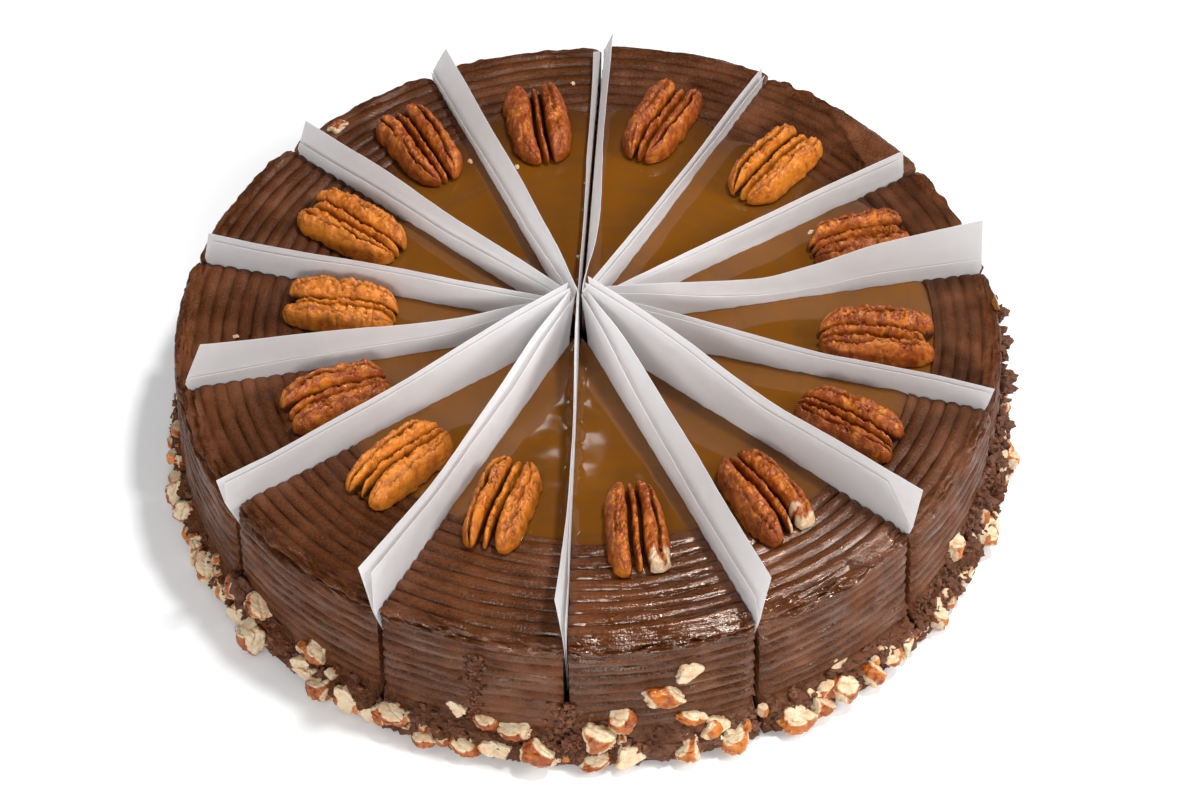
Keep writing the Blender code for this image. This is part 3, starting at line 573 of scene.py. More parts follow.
def combed(at, setup, sag, depth_share):
    """How far in the comb went, mm, and the place between groove, 0, and crest, 1. The comb wavers, and
    its ridges sag where the knife drew the frosting down."""
    drift = 0.42 * grain(at.arc / 17.0, at.radius / 9.0, at.seed) + 0.25 * math.sin(at.seed)
    top_comb = comb((RIDGE_OUTER - at.radius + drift * at.top) / (setup.pitch / MM))
    droop = sag * np.exp(-at.from_cut / 2.4)
    side_drift = 0.75 * grain(at.arc / 15.0, at.height / 7.0, at.seed + 3.0, 2) + droop
    side_comb = comb((SIDE_TOP - at.height - side_drift) / (setup.side_pitch / MM))
    patchy = grain(at.arc / 9.0, at.radius / 4.2 + at.height / 4.0, at.seed + 5.0)
    uneven = 0.85 + (0.45 + 0.35 * at.side) * patchy
    depth = setup.depth / MM * depth_share * np.clip(uneven, 0.2, 1.4)
    crest = np.where(at.side > at.top, side_comb, top_comb)
    return depth * (1.0 - crest) * np.maximum(at.top, at.side * (1.0 - at.seam)), crest


def drag_marks(at, drag):
    """Fine marks along the stroke and slow unevenness, mm."""
    fine = 0.12 * drag + 0.14 * grain(at.arc / 2.6, at.along / 0.8, at.seed + 10.0, 2)
    slow = 0.30 * grain(at.arc / 26.0, at.along / 13.0, at.seed + 11.0) * (1.0 - 0.5 * at.top)
    return 0.09 * at.top * drag + at.side * fine + slow


def rim_folds(at):
    """Folds, marks and the ragged lip that the knife left on the rim, mm."""
    across = at.radius - at.height
    fold = 1.0 - np.abs(grain(at.arc / 16.0, across / 2.2, at.seed + 15.0, 2)) * 3.0
    folds = 0.40 * fold - 0.3 + 0.55 * grain(at.arc / 11.0, at.along / 3.2, at.seed + 17.0, 2)
    marks = 0.16 * grain(at.arc / 4.5, across / 0.9, at.seed + 19.0, 2)
    under = across - LIP_LINE - 1.6 * grain(at.arc / 9.0, at.seed + 37.0, 0.5, 3)
    lip = bump_at(under, 0.0, 0.8) - 1.2 * bump_at(under, 1.5, 0.5)
    lip *= np.clip(0.5 + 1.5 * grain(at.arc / 7.0, at.seed + 39.0, 0.5, 2), 0.0, 1.2)
    return at.rim * (folds + marks + 0.8 * lip)


def pressed_places(at):
    """Where the knife pressed the rim, 0 to 1, and the height of the wet facet there, mm."""
    wander = 0.5 * grain(at.arc / 4.0, at.radius / 2.5, at.seed + 35.0, 2)
    wander += ((at.radius - TOP_END - 0.6) / 3.9) ** 2
    pressed = sum(smooth(1.0, 0.6, ((at.degrees - middle) / half) ** 2 + wander)
                  for n, middle, half in PRESSED_RIM if n == at.part.n)
    facet = HEIGHT - 0.38 * (at.radius - TOP_END + 2.6)
    facet += 0.22 * grain(at.arc / 6.0, at.radius / 2.4, at.seed + 23.0, 2)
    return pressed * smooth(125.2, 124.0, at.radius) * (at.height > SIDE_TOP), facet


def folded_flap(at, drag):
    """Where the flap of frosting lies, 0 to 1, and how far it stands out, mm."""
    n, first, inner, nearer = FLAP
    if at.part.n != n:
        return np.zeros_like(at.radius), 0.0
    turned = first - at.degrees
    past = at.radius - (inner - nearer * turned + 1.2 * grain(at.arc / 5.0, at.seed + 27.0, 0.5, 2))
    flap = smooth(-0.3, 0.3, past) * smooth(-0.6, 1.2, turned) * (at.height > SIDE_TOP - 2.0)
    proud = 0.35 + 0.75 * bump_at(past, 0.0, 3.5) - 0.45 * bump_at(past + 0.8 * drag, 4.6, 0.7)
    return flap, flap * (proud + 0.35 * grain(at.x / 4.0, at.y / 4.0, at.seed + 33.0, 3))


def torn_frosting(at):
    """How torn the frosting is, 0 to 1, with the lumps, mm, and the pits that it then has."""
    ragged = smooth(23.0, 12.0, at.height) * np.exp(-at.from_cut / 3.2)
    torn = np.maximum(np.maximum(at.foot, at.seam), ragged)
    lumps = 2.0 * grain(at.arc / 5.2, at.height / 3.8, at.seed + 21.0, 3)
    lumps += 0.9 * grain(at.arc / 1.7, at.height / 1.5, at.seed, 2)
    return torn, lumps, creases(grain(at.arc / 2.8, at.height / 2.2, at.seed + 25.0, 3), 0.10)


def frosting_slice(n, setup, material):
    """One slice: ridges on top and side that round off at the cuts, a smeared rim with folds, pressed
    places and a flap, a crumbly foot, and low ridges under the film of caramel."""
    part = Slice(n)
    rows = frosting_outline(part)
    obj, row, places, share = wedge(rows, part, setup.columns)
    at = Skin(part, places, share)
    # tone: how far the top of the slice is painted darker, a painted shade
    rim_rough, sag, depth_share, gloss, tone = SMEAR[n - 1]
    drag = grain(at.arc / 6.5, at.along / 0.9, at.seed + 9.0, 3)
    bite, crest = combed(at, setup, sag, depth_share)
    pressed, facet = pressed_places(at)
    flap, proud = folded_flap(at, drag)
    torn, lumps, pits = torn_frosting(at)
    flattened = np.maximum(pressed, flap)
    push = -bite + drag_marks(at, drag) + rim_rough * rim_folds(at)
    push = push * (1.0 - 0.85 * flattened) + proud + torn * (lumps - 1.1 * pits)
    film = FILM.get(n, 0.0)
    sunk = smooth(part.reach + film + 2.0, part.reach + film - 4.0, at.radius)
    sunk *= (at.height > HEIGHT - 1.0) * (film > 0)
    moving = (row > 3) & (at.height > 0.0)
    push *= moving * (1.0 - 0.5 * sunk)
    # the cut rounds every edge
    soft = np.where(at.height > HEIGHT - 1.5, 0.55, 1.15) + 0.4 * at.rim
    push -= moving * soft * np.exp(-(at.from_cut / (1.0 + 0.5 * at.side)) ** 1.4) * (at.height > 1.0)
    out = outline_normals(rows)
    radius = at.radius + push * out[row, 0]
    height = at.height + push * out[row, 1] + pressed * (facet - at.height) - 0.75 * sunk
    height = np.clip(height, 0.0, HEIGHT + 1.3)
    # on top the frosting leans over the cut and touches the paper here and there
    toward = np.sign(at.share - 0.5)
    lean = (0.38 + 0.45 * grain(radius / 5.0, at.seed + 31.0, toward, 2)) * smooth(40.0, 46.0, height)
    turn = at.turn + toward * lean * np.exp(-at.from_cut / 1.6) / np.maximum(at.far, 8.0)
    x, y = part.place(radius, turn)[:2]
    at_tip = (row == 0) | (row == len(rows) - 1)
    x, y = np.where(at_tip, part.tip[0], x), np.where(at_tip, part.tip[1], y)
    set_points(obj, np.stack([x, y, height], axis=1) * MM)

    stroke = [at.arc, at.along + 60.0 * at.side, np.full_like(at.along, at.seed)]
    set_values(obj, "stroke", np.stack(stroke, axis=1), "FLOAT_VECTOR")
    # painted shade: on top the crests are painted darker by the slice's tone
    light = np.maximum(crest * (1.0 - (1.0 - tone) * at.top), flattened)
    # on the foot the pits are painted darker, a painted shade, and the lumps lighter, a painted highlight
    light = np.where(at.top + at.side > 0.5, light, 0.8 + 0.2 * lumps - 0.7 * pits)
    # the crest value carries painted shade: at 0 the material paints the groove colour, at 1 the frosting
    # colour
    set_values(obj, "crest", np.clip(light, 0.0, 1.0))
    set_values(obj, "crumbly", np.clip(np.maximum(torn, 0.3 * flap), 0.0, 1.0))
    gloss = gloss * (1.0 + 0.3 * at.rim - 0.55 * at.side) + 0.6 * pressed
    gloss += 0.45 * grain(at.arc / 11.0, at.along / 6.0, at.seed + 29.0, 2)
    set_values(obj, "gloss", np.clip(gloss, 0.0, 1.0))
    relax_shading(obj)
    return finish_piece(obj, "frosting_%02d" % n, material, "frosting", "slice_%02d" % n)


# ---- caramel ----
def caramel_pool(n, setup, material):
    """The caramel on one slice: level, with slow waves, rounded over at the cuts, and thinning out into
    the first grooves of the frosting, or further out where it runs on as a film."""
    part = Slice(n)
    count, columns = 70, 44
    film = FILM.get(n, 0.0)
    reach = part.reach + film
    rows = [((reach + 6.5) * k / count, CARAMEL_LEVEL) for k in range(count + 1)]
    rows += [(reach + 6.5, BED + 0.1), (0.0, BED + 0.1)]
    obj, row, places, share = wedge(rows, part, columns)
    radius, height = places.T
    turn = part.start + share * part.span
    near_cut = np.exp(-np.minimum(share, 1.0 - share) * 30.0) * (height > CARAMEL_LEVEL - 0.6)
    turn = turn + np.sign(share - 0.5) * near_cut * 0.5 / np.maximum(radius, 6.0)
    x, y = part.tip[0] + np.cos(turn) * radius, part.tip[1] + np.sin(turn) * radius
    outer = smooth(MIDDLE, 45.0, radius)
    px, py = part.place(np.maximum(radius, MIDDLE), turn)[:2]
    x, y = x + (px - x) * outer, y + (py - y) * outer
    from_cut = part.from_cut(np.hypot(x - part.tip[0], y - part.tip[1]), share)
    seed = 3.1 * n
    edge = reach + 1.0 + 4.2 * grain(x / 13.0, y / 13.0, seed, 2)
    edge -= 4.0 * np.exp(-(from_cut / 5.0) ** 1.5)
    fall = smooth(edge - 2.6, edge + 2.6, radius)
    wave = setup.wave / MM * grain(x / 19.0, y / 19.0, seed + 2.0, 2)
    rounded = 0.55 * grain(x / 5.5, y / 5.5, seed + 5.0, 2) - 0.15
    upper = row <= count
    height = height + upper * (wave - 1.0 * fall + rounded * np.exp(-(from_cut / 1.1) ** 1.5))
    set_points(obj, np.stack([x, y, height], axis=1) * MM)
    set_values(obj, "thin", np.clip(0.85 * smooth(edge - 5.0 - 2.0 * film, edge + 1.5, radius), 0.0, 1.0))
    far, angle = np.hypot(x, y), np.arctan2(y, x)
    stroke = [angle * np.maximum(far, 12.0) / 25.0, far / 5.0, np.full_like(x, seed)]
    set_values(obj, "stroke", np.column_stack(stroke), "FLOAT_VECTOR")
    relax_shading(obj, 50.0)
    return finish_piece(obj, "caramel_pool_%02d" % n, material, "caramel", "caramel_%02d" % n)


# ---- kernels ----
class Kernel:
    """Middle, long axis, sizes and height of the underside of a kernel, read from its solid, mm."""

    def __init__(self, n):
        solid = solid_points("pecan_%02d" % n)
        self.centre = (solid.max(axis=0) + solid.min(axis=0))[:2] / 2
        flat = solid[:, :2] - self.centre
        axis = np.linalg.eigh(flat.T @ flat)[1][:, 1]
        self.axis = axis if axis @ self.centre > 0 else -axis
        self.side = np.array([-self.axis[1], self.axis[0]])
        self.length, self.width = np.ptp(flat @ self.axis), np.ptp(flat @ self.side)
        self.base, self.tall = solid[:, 2].min(), np.ptp(solid[:, 2])


def finger(kernel, sides, outer_end, height, groove, seed):
    """One lobe of a kernel: a blunt roll along it, creased across and grooved along. sides gives its two
    edges as shares of half the kernel's width, by the place along; groove is (place across it, depth)."""
    bpy.ops.mesh.primitive_uv_sphere_add(segments=88, ring_count=84, radius=1.0)
    obj = bpy.context.object
    co = get_points(obj)
    s, q = co[:, 2].copy(), co[:, 0] / np.maximum(np.hypot(co[:, 0], co[:, 1]), 1e-6)
    upper = co[:, 1] >= -1e-6
    # turn the sphere's rings into even steps along a roll with blunt ends
    s = 0.6 * s + 0.4 * np.arcsin(np.clip(s, -1.0, 1.0)) / (math.pi / 2)
    full = np.maximum(0.0, 1.0 - np.abs(s) ** 5.0) ** 0.5
    at = (outer_end - 1.0) / 2 + s * (outer_end + 1.0) / 2
    low, high = sides(at)
    middle, half = (low + high) / 2, (high - low) / 2
    mm_along, mm_across = at * kernel.length / 2, (middle + q * half) * kernel.width / 2
    outside = q * middle > 0.0
    waist = 1.0 + np.where(outside, 0.20, 0.03) * grain(mm_along / 4.5, seed + 1.0, np.sign(q), 2)
    steep = np.where(outside, 2.1, 4.5)                # toward the gap the lobes stand upright
    lift = np.sqrt(np.maximum(0.0, 1.0 - np.abs(q) ** steep))
    line = bump_at(q, groove[0] + 0.55 * grain(at * 1.6, seed, 3.0), 0.14)
    line *= np.clip(0.75 + 1.1 * grain(at * 1.5, seed + 2.0, 0.0), 0.0, 1.0)
    cross = creases(grain(mm_along / 1.9 + 0.3 * mm_across, mm_across / 7.0, seed + 4.0, 2), 0.06)
    cross *= smooth(-0.2, 0.5, grain(mm_along / 6.0, mm_across / 5.0, seed + 5.0))
    swell = grain(mm_along / 4.5, mm_across / 3.5, seed + 6.0, 2)
    fine = grain(mm_along / 0.8, mm_across / 1.4, seed + 8.0, 3)
    top = lift * (1.0 + 0.16 * swell - 0.18 * cross) - groove[1] * line + 0.10 * fine
    arch = 1.0 - 0.18 * at * at
    z = kernel.base + np.where(upper, np.maximum(top, 0.0) * full ** 0.8 * height * arch, -0.02) * kernel.tall
    z += 0.08 * kernel.tall * (1.0 - full)
    narrow = full ** 0.6 * np.where(upper, 1.0, 0.9)
    across = (middle + q * half * waist * narrow) * kernel.width / 2
    place = kernel.centre + mm_along[:, None] * kernel.axis + across[:, None] * kernel.side
    set_points(obj, np.column_stack([place, z]) * MM)
    # painted shade: grooves, creases across and the flanks toward the gap are marked to be painted dark
    deep = np.maximum(line * min(groove[1] / 0.3, 1.0), 0.55 * cross)
    painted_gap_shade = np.where(outside, 0.0, 1.0) * smooth(0.84, 1.0, np.abs(q))
    set_values(obj, "groove", np.clip(np.maximum(deep, painted_gap_shade) * upper, 0.0, 0.95))
    set_values(obj, "at", at)
    set_values(obj, "patch", 0.34 * grain(mm_along / 6.0, mm_across / 4.0, seed + 9.0, 3))
    return obj


def kernel_piece(n, material):
    """Half a kernel on its flat side: two creased lobes and a thin ridge between them. The three meet
    at the inner end, and the gaps are open to the outer one."""
    kernel = Kernel(n)
    shift, taper, shade, broken = KERNELS[n - 1]
    rng = random.Random(SEED * n)
    ridge = rng.uniform(0.10, 0.15)
    slot = rng.uniform(0.07, 0.10)
    bow, sway = rng.uniform(-0.11, 0.11), rng.choice((-0.07, 0.07))

    def line(at):
        return 0.3 * shift + bow * (1.0 - at * at) + sway * np.sin(2.8 * at)

    def open_at(at):
        return smooth(-1.0, -0.45, at)

    def outline(at):
        return (1.0 - np.where(at > 0, 0.42, 0.80) * np.abs(at) ** 4.4) ** 0.5 * (1.0 + taper * at)

    def left(at):
        return -outline(at), line(at) - ridge - slot * open_at(at)

    def right(at):
        return line(at) + ridge + slot * open_at(at), outline(at)

    def middle(at):
        return line(at) - ridge, line(at) + ridge

    def groove(low, high):
        return rng.uniform(low, high), rng.choice((0.14, 0.32, 0.44))

    seed = 11.7 * n
    no_groove = (-2.0, 0.0)
    rolls = [
        finger(kernel, left, rng.uniform(0.93, 1.0), rng.uniform(0.92, 0.98), groove(-0.3, 0.1), seed),
        finger(kernel, right, rng.uniform(0.93, 1.0), rng.uniform(0.92, 0.98), groove(-0.1, 0.3),
               seed + 37.0),
        finger(kernel, middle, rng.uniform(0.80, 0.94), rng.uniform(0.72, 0.88), no_groove, seed + 71.0),
    ]
    obj = rolls[0]
    make_active(obj)
    for roll in rolls:
        roll.select_set(True)
    bpy.ops.object.join()
    in_edit_mode(obj, lambda: bpy.ops.mesh.normals_make_consistent(inside=False))
    at, patch = (get_values(obj, name, np.float32).astype(float) for name in ("at", "patch"))
    co = get_points(obj) / MM
    half = (co[:, :2] - kernel.centre) @ kernel.side * rng.choice((-1.0, 1.0))
    end = smooth(0.74, 0.86, at * broken + 1.2 * patch) * abs(broken) * smooth(-0.5, 0.5, half)
    set_values(obj, "flesh", end)
    # the break is rough and cuts the roll off short
    past = np.maximum((co[:, :2] - kernel.centre) @ kernel.axis * broken / kernel.length * 2 - 0.84, 0.0)
    co[:, :2] -= np.outer(0.4 * past * end * kernel.length / 2 * broken, kernel.axis)
    co[:, 2] += end * (0.45 * grain(*(co.T / 1.1), 2) - 0.3) * (co[:, 2] > kernel.base + 0.8)
    set_points(obj, co * MM)
    set_values(obj, "shade", np.clip(shade + patch, 0.0, 1.0))
    relax_shading(obj, 70.0)
    return finish_piece(obj, "kernel_%02d" % n, material, "pecan", "pecan_%02d" % n)


# ---- paper dividers ----
PRESSED = 10                    # the divider whose leaves are pressed together, in the cut at the front
APART = 3                       # the divider whose leaves lean on the two sides of its cut, at the back
LIP = HEIGHT + 0.9              # the leaves lean apart above this height, mm
FOLD = 2.2                      # height of the fold, mm
KNEE = 0.4                      # share of a leaf's rows that stand in the cut
LEAF_COLUMNS = 90               # columns along a leaf
LEAF_ROWS = 16                  # rows up a leaf
ROUNDS = 16                     # how often the corners of a leaf's line are rounded
GAP, WIDE_GAP = 0.22, 0.62      # from the middle of a cut to the leaves in it, and where they lie apart, mm


def soften(values, times):
    """Round the corners of a line of numbers, its two ends left in place."""
    for _ in range(times):
        values = np.concatenate([values[:1], (values[:-2] + 2 * values[1:-1] + values[2:]) / 4, values[-1:]])
    return values


def leaf_edges(node, u, v):
    """Top edges of the two leaves of a divider, each a line of (place along the cut, place across it,
    height), mm: above the cut the leaves are separate shells of the solid."""
    points = solid_points(node)
    keys, same = np.unique(np.round(points, 2), axis=0, return_inverse=True)
    same = same.ravel()
    group = list(range(len(keys)))

    def root(k):
        while group[k] != k:
            k = group[k]
        return k

    high = keys[:, 2] > LIP - 0.2
    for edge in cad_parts[node].data.edges:
        a, b = (same[k] for k in edge.vertices)
        if high[a] and high[b]:
            group[root(a)] = root(b)
    roots = np.array([root(k) for k in range(len(keys))])
    edges = []
    for shell in set(roots[high]):
        rim = keys[(roots == shell) & (keys[:, 2] > LIP + 0.5)]
        line = np.column_stack([rim[:, :2] @ u, rim[:, :2] @ v, rim[:, 2]])
        line = line[line[:, 0].argsort()]
        edges.append(np.array([line[k:k + 2].mean(axis=0) for k in range(0, len(line) - 1, 2)]))
    return sorted(edges, key=lambda line: line[:, 1].mean())


def divider(n, setup, material):
    """One folded sheet of tissue: two wavy leaves that rise out of the cut, joined at the fold."""
    node, part = "paper_%02d" % n, Slice(n)
    turn = part.start + part.span
    u = np.array([math.cos(turn), math.sin(turn)])
    v = np.array([-u[1], u[0]])
    leaves = leaf_edges(node, u, v)
    if len(leaves) != 2:
        raise RuntimeError("%s has %d leaves" % (node, len(leaves)))
    points = solid_points(node)
    flat = np.column_stack([points[:, :2] @ u, points[:, :2] @ v, points[:, 2]])
    low, lip = flat[flat[:, 2] < 10.0], flat[np.abs(flat[:, 2] - LIP) < 0.2]
    middle = (low[:, 1].max() + low[:, 1].min()) / 2
    bpy.ops.mesh.primitive_grid_add(x_subdivisions=LEAF_COLUMNS, y_subdivisions=2 * LEAF_ROWS, size=2.0)
    obj = bpy.context.object
    co = get_points(obj)
    share, climb = (co[:, 0] + 1.0) / 2.0, np.abs(co[:, 1])
    even = np.linspace(0.0, 1.0, LEAF_COLUMNS + 1)
    inside, above = np.minimum(climb / KNEE, 1.0), np.clip((climb - KNEE) / (1.0 - KNEE), 0.0, 1.0)
    fold_at = low[:, 0].min() + share * np.ptp(low[:, 0])
    lip_at = lip[:, 0].min() + share * np.ptp(lip[:, 0])
    place = np.zeros((len(co), 3))
    for sign, leaf, other in zip((-1.0, 1.0), leaves, leaves[::-1]):
        ends = leaf[0, 0] - 3.6, leaf[-1, 0]      # to just before the middle, where the sheets meet
        at = ends[0] + even * (ends[1] - ends[0])
        lean, beside = (np.interp(at, line[:, 0], line[:, 1]) for line in (leaf, other))
        if n == PRESSED:
            lean = lean - sign * np.minimum(0.45, np.maximum(np.abs(beside - lean) - 0.25, 0.0) / 2)
        lean = np.interp(share, even, soften(lean, ROUNDS))
        tall = np.interp(share, even, soften(np.interp(at, leaf[:, 0], leaf[:, 2]), ROUNDS))
        top_at = ends[0] + share * (ends[1] - ends[0])
        seed = 5.0 * n + (0.0 if n == PRESSED else sign)
        wave = 0.22 * grain(top_at / 22.0, above * 0.6, seed) + 0.07 * grain(top_at / 5.0, above, seed + 2.0)
        gap = middle + (WIDE_GAP if n == APART else GAP) * sign * inside ** 0.3
        along = np.where(climb < KNEE, fold_at + (lip_at - fold_at) * inside,
                         lip_at + (top_at - lip_at) * above)
        across = np.where(climb < KNEE, gap, gap + (lean - gap) * above ** 1.15 + wave * above)
        height = np.where(climb < KNEE, FOLD + (LIP - FOLD) * inside,
                          LIP + (tall - LIP + 0.10 * grain(top_at / 9.0, seed, 4.0)) * above)
        here = co[:, 1] * sign > -1e-7
        place[here] = np.column_stack([along, across, height])[here]
    place[climb < 1e-6, 1] = middle
    set_points(obj, np.column_stack([place[:, :1] * u + place[:, 1:2] * v, place[:, 2]]) * MM)
    make_active(obj)
    wall = obj.modifiers.new("wall", "SOLIDIFY")
    wall.thickness = setup.thickness
    wall.offset = 0.0
    bpy.ops.object.modifier_apply(modifier=wall.name)
    far = np.hypot(*get_points(obj)[:, :2].T) / MM
    # how far toward the rim: there the sheet is painted greyer, a painted shade
    set_values(obj, "painted_shade_rimward", smooth(20.0, 110.0, far))
    relax_shading(obj, 40.0)
    return finish_piece(obj, "divider_%02d" % n, material, "paper", node)


# ---- scattered pieces ----
KINDS = 12                      # templates of the large bits of nut, and as many of the small ones
SMALL_BITS = 230                # small bits of nut between the large ones
CRUMB_KINDS, LUMP_KINDS = 8, 4  # templates of the crumbs and of the torn lumps
FOOT_CRUMBS = 1500              # crumbs all round the foot
SEAM_CRUMBS = 80                # crumbs along the comb's seam
CUT_CRUMBS = 220                # crumbs at the foot of the front cut
SIDE_CRUMBS = 420               # crumbs on the torn side at the right
TORN_SIDE = (-42.0, -12.0, 8.0)     # degrees about the middle where the torn side begins, rises and ends
TORN_HEIGHT = (13.0, 36.0, 44.0)    # how high its crumbs go there, mm


def template_arrays(obj, breaks=(), by_face=True):
    """Corners and triangles of a template, which is then removed, and for each corner of a triangle how
    much of it is a broken face: one that lies at a plane of breaks."""
    in_edit_mode(obj, bpy.ops.mesh.quads_convert_to_tris)
    co = get_points(obj)
    tris = np.array([list(p.vertices) for p in obj.data.polygons])
    bpy.data.objects.remove(obj, do_unlink=True)
    at = np.repeat(co[tris].mean(axis=1)[:, None], 3, axis=1) if by_face else co[tris]
    flesh = np.zeros(tris.shape)
    for place, normal in breaks:
        flesh = np.maximum(flesh, smooth(-0.08, -0.03, (at - np.array(place)) @ np.array(normal)))
    return co, tris, flesh


def chip_template(rng, cuts, broken, fine):
    """A bit of nut of unit size: rounded skin with flat rough breaks round it, or a broken side out. A
    fine one is for the few large bits."""
    if fine:
        bpy.ops.mesh.primitive_ico_sphere_add(subdivisions=4, radius=0.62)
    else:
        bpy.ops.mesh.primitive_uv_sphere_add(segments=7, ring_count=5, radius=0.62)
    obj = bpy.context.object
    planes = []
    if broken:
        planes.append((Vector((rng.uniform(0.12, 0.26), 0.0, 0.0)),
                       Vector((1.0, rng.uniform(-0.5, 0.5), rng.uniform(-0.4, 0.4))).normalized()))
    for k in range(cuts):
        turn = 2 * math.pi * (k + rng.uniform(-0.3, 0.3)) / cuts
        normal = Vector((rng.uniform(-0.3, 0.4), math.cos(turn), math.sin(turn))).normalized()
        planes.append((normal * rng.uniform(0.34, 0.52), normal))

    def cut(place, normal):
        return lambda: bpy.ops.mesh.bisect(plane_co=place, plane_no=normal, use_fill=True, clear_outer=True)

    in_edit_mode(obj, *[cut(p, n) for p, n in planes])
    if not fine:
        return template_arrays(obj, planes)
    grid = obj.modifiers.new("even", "REMESH")
    grid.mode, grid.voxel_size = "VOXEL", 0.062
    bpy.ops.object.modifier_apply(modifier=grid.name)
    in_edit_mode(obj, lambda: bpy.ops.mesh.vertices_smooth(factor=0.5, repeat=2))
    whole, tris, flesh = template_arrays(obj, planes, by_face=False)
    rough = 1.0 + 0.13 * grain(*(whole.T * 2.2), 3) - 0.14 * creases(grain(*(whole.T * 2.0 + 5.0)), 0.10)
    return whole * rough[:, None], tris, flesh


def scatter(name, templates, places, material, slot):
    """One piece made of many copies: each place is (template, 4 x 4 matrix, shade)."""
    corners, faces, flesh, shades, base = [], [], [], [], 0
    for kind, matrix, shade in places:
        co, tris, mask = templates[kind]
        m = np.array(matrix)
        corners.append(co @ m[:3, :3].T + m[:3, 3])
        faces.append(tris + base)
        flesh.append(mask)
        shades.append(np.full(len(tris), shade))
        base += len(co)
    co = np.concatenate(corners)
    co[:, 2] = np.maximum(co[:, 2], 0.0)
    mesh = bpy.data.meshes.new(name)
    mesh.from_pydata(co.tolist(), [], np.concatenate(faces).tolist())
    obj = bpy.data.objects.new(name, mesh)
    bpy.context.scene.collection.objects.link(obj)
    set_values(obj, "flesh", np.concatenate(flesh), domain="CORNER")
    set_values(obj, "shade", np.concatenate(shades), domain="FACE")
    relax_shading(obj, 35.0)
    return finish_piece(obj, name, material, slot)


def side_radius(z):
    """About how far the frosting reaches out at a height, mm."""
    if z > SIDE_BOTTOM:
        return 126.0
    return float(np.interp(z, (0.0, 4.0, 9.0, SIDE_BOTTOM), (128.4, FOOT_RADIUS - 0.4, 129.2, 126.6)))


def stand(angle, radius, z, size, rng, twist=math.pi):
    """Matrix of a bit on the side of the cake: size is (outward, along, up) in mm."""
    out = Vector((math.cos(math.radians(angle)), math.sin(math.radians(angle)), 0.0))
    frame_of = out.to_track_quat("X", "Z").to_matrix().to_4x4()
    spin = Matrix.Rotation(rng.uniform(-twist, twist) * 0.15, 4, "X")
    scale = Matrix.Diagonal((*(s * MM for s in size), 1.0))
    place = Matrix.Translation((out * radius + Vector((0, 0, z))) * MM)
    tumble = Matrix.Rotation(rng.choice((0.0, math.pi)), 4, "X")
    return place @ frame_of @ spin @ scale @ tumble


def chopped_nuts(material):
    """Chopped nuts in the foot: the large ones where the solids have them, small ones between."""
    rng = random.Random(SEED)
    templates = [chip_template(rng, rng.choice((3, 4, 5)), k % 2, True) for k in range(KINDS)]
    templates += [chip_template(rng, rng.choice((3, 4)), k % 2, False) for k in range(KINDS)]
    fleck = lump_template(5, 0.4, 0.0)
    templates.append((fleck[0], fleck[1], np.ones(fleck[1].shape)))
    rim_nut = stand(131.6, 118.5, HEIGHT - 1.6, (5.0, 7.0, 6.0), rng) @ Matrix.Rotation(-math.pi / 2, 4, "Y")
    places = [(0, rim_nut, 1.0)]
    deep = 7.0
    for row, (angle, z, wide, tall) in enumerate(CHOPPED):
        proud = 0.6 * min(wide, tall) + 0.8 * (z < SIDE_BOTTOM)
        size = (deep, wide * 1.12, tall * 1.1)
        radius = side_radius(z) + proud - deep / 2
        # every third one has its broken side out
        kind = 2 * rng.randrange(KINDS // 2) + ((row + 1) % 3 == 0)
        shade = rng.uniform(0.4, 1.0)
        places.append((kind, stand(angle, radius, max(z, tall * 0.6), size, rng), shade))
    for _ in range(SMALL_BITS):
        angle = rng.uniform(0.0, 360.0)
        small = rng.uniform(2.2, 5.2)
        z = small * 0.6 + rng.random() ** 1.6 * 9.0
        size = (small, small * rng.uniform(0.8, 1.5), small * rng.uniform(0.7, 1.2))
        radius = side_radius(z) + 0.3 - small * rng.uniform(0.0, 0.3)
        kind = KINDS + rng.randrange(KINDS)
        places.append((kind, stand(angle, radius, z, size, rng), rng.uniform(0.2, 1.0)))
    for angle, radius in FLECKS:
        wide = rng.uniform(1.3, 2.2)
        places.append((2 * KINDS, stand(angle, radius, HEIGHT - 0.2, (wide, 1.6, 1.1), rng), 0.2))
    return scatter("chopped_nuts", templates, places, material, "pecan")


def lump_template(seed, wild, grainy):
    """An irregular lump of unit size: wild in form and grainy in detail by the amounts given."""
    bpy.ops.mesh.primitive_ico_sphere_add(subdivisions=4, radius=0.5)
    co, tris, flesh = template_arrays(bpy.context.object)
    rough = 0.9 + wild * grain(*(co.T * 2.4 + 9.0 * seed), 2) + grainy * grain(*(co.T * 8.0 + seed), 3)
    return co * rough[:, None], tris, flesh


def crumb_template(seed):
    """A crumb of unit size, with as few faces as its size on the cake asks for."""
    bpy.ops.mesh.primitive_uv_sphere_add(segments=6, ring_count=5, radius=0.5)
    co, tris, flesh = template_arrays(bpy.context.object)
    return co * (0.95 + 0.9 * grain(*(co.T * 2.6 + 9.0 * seed), 2))[:, None], tris, flesh


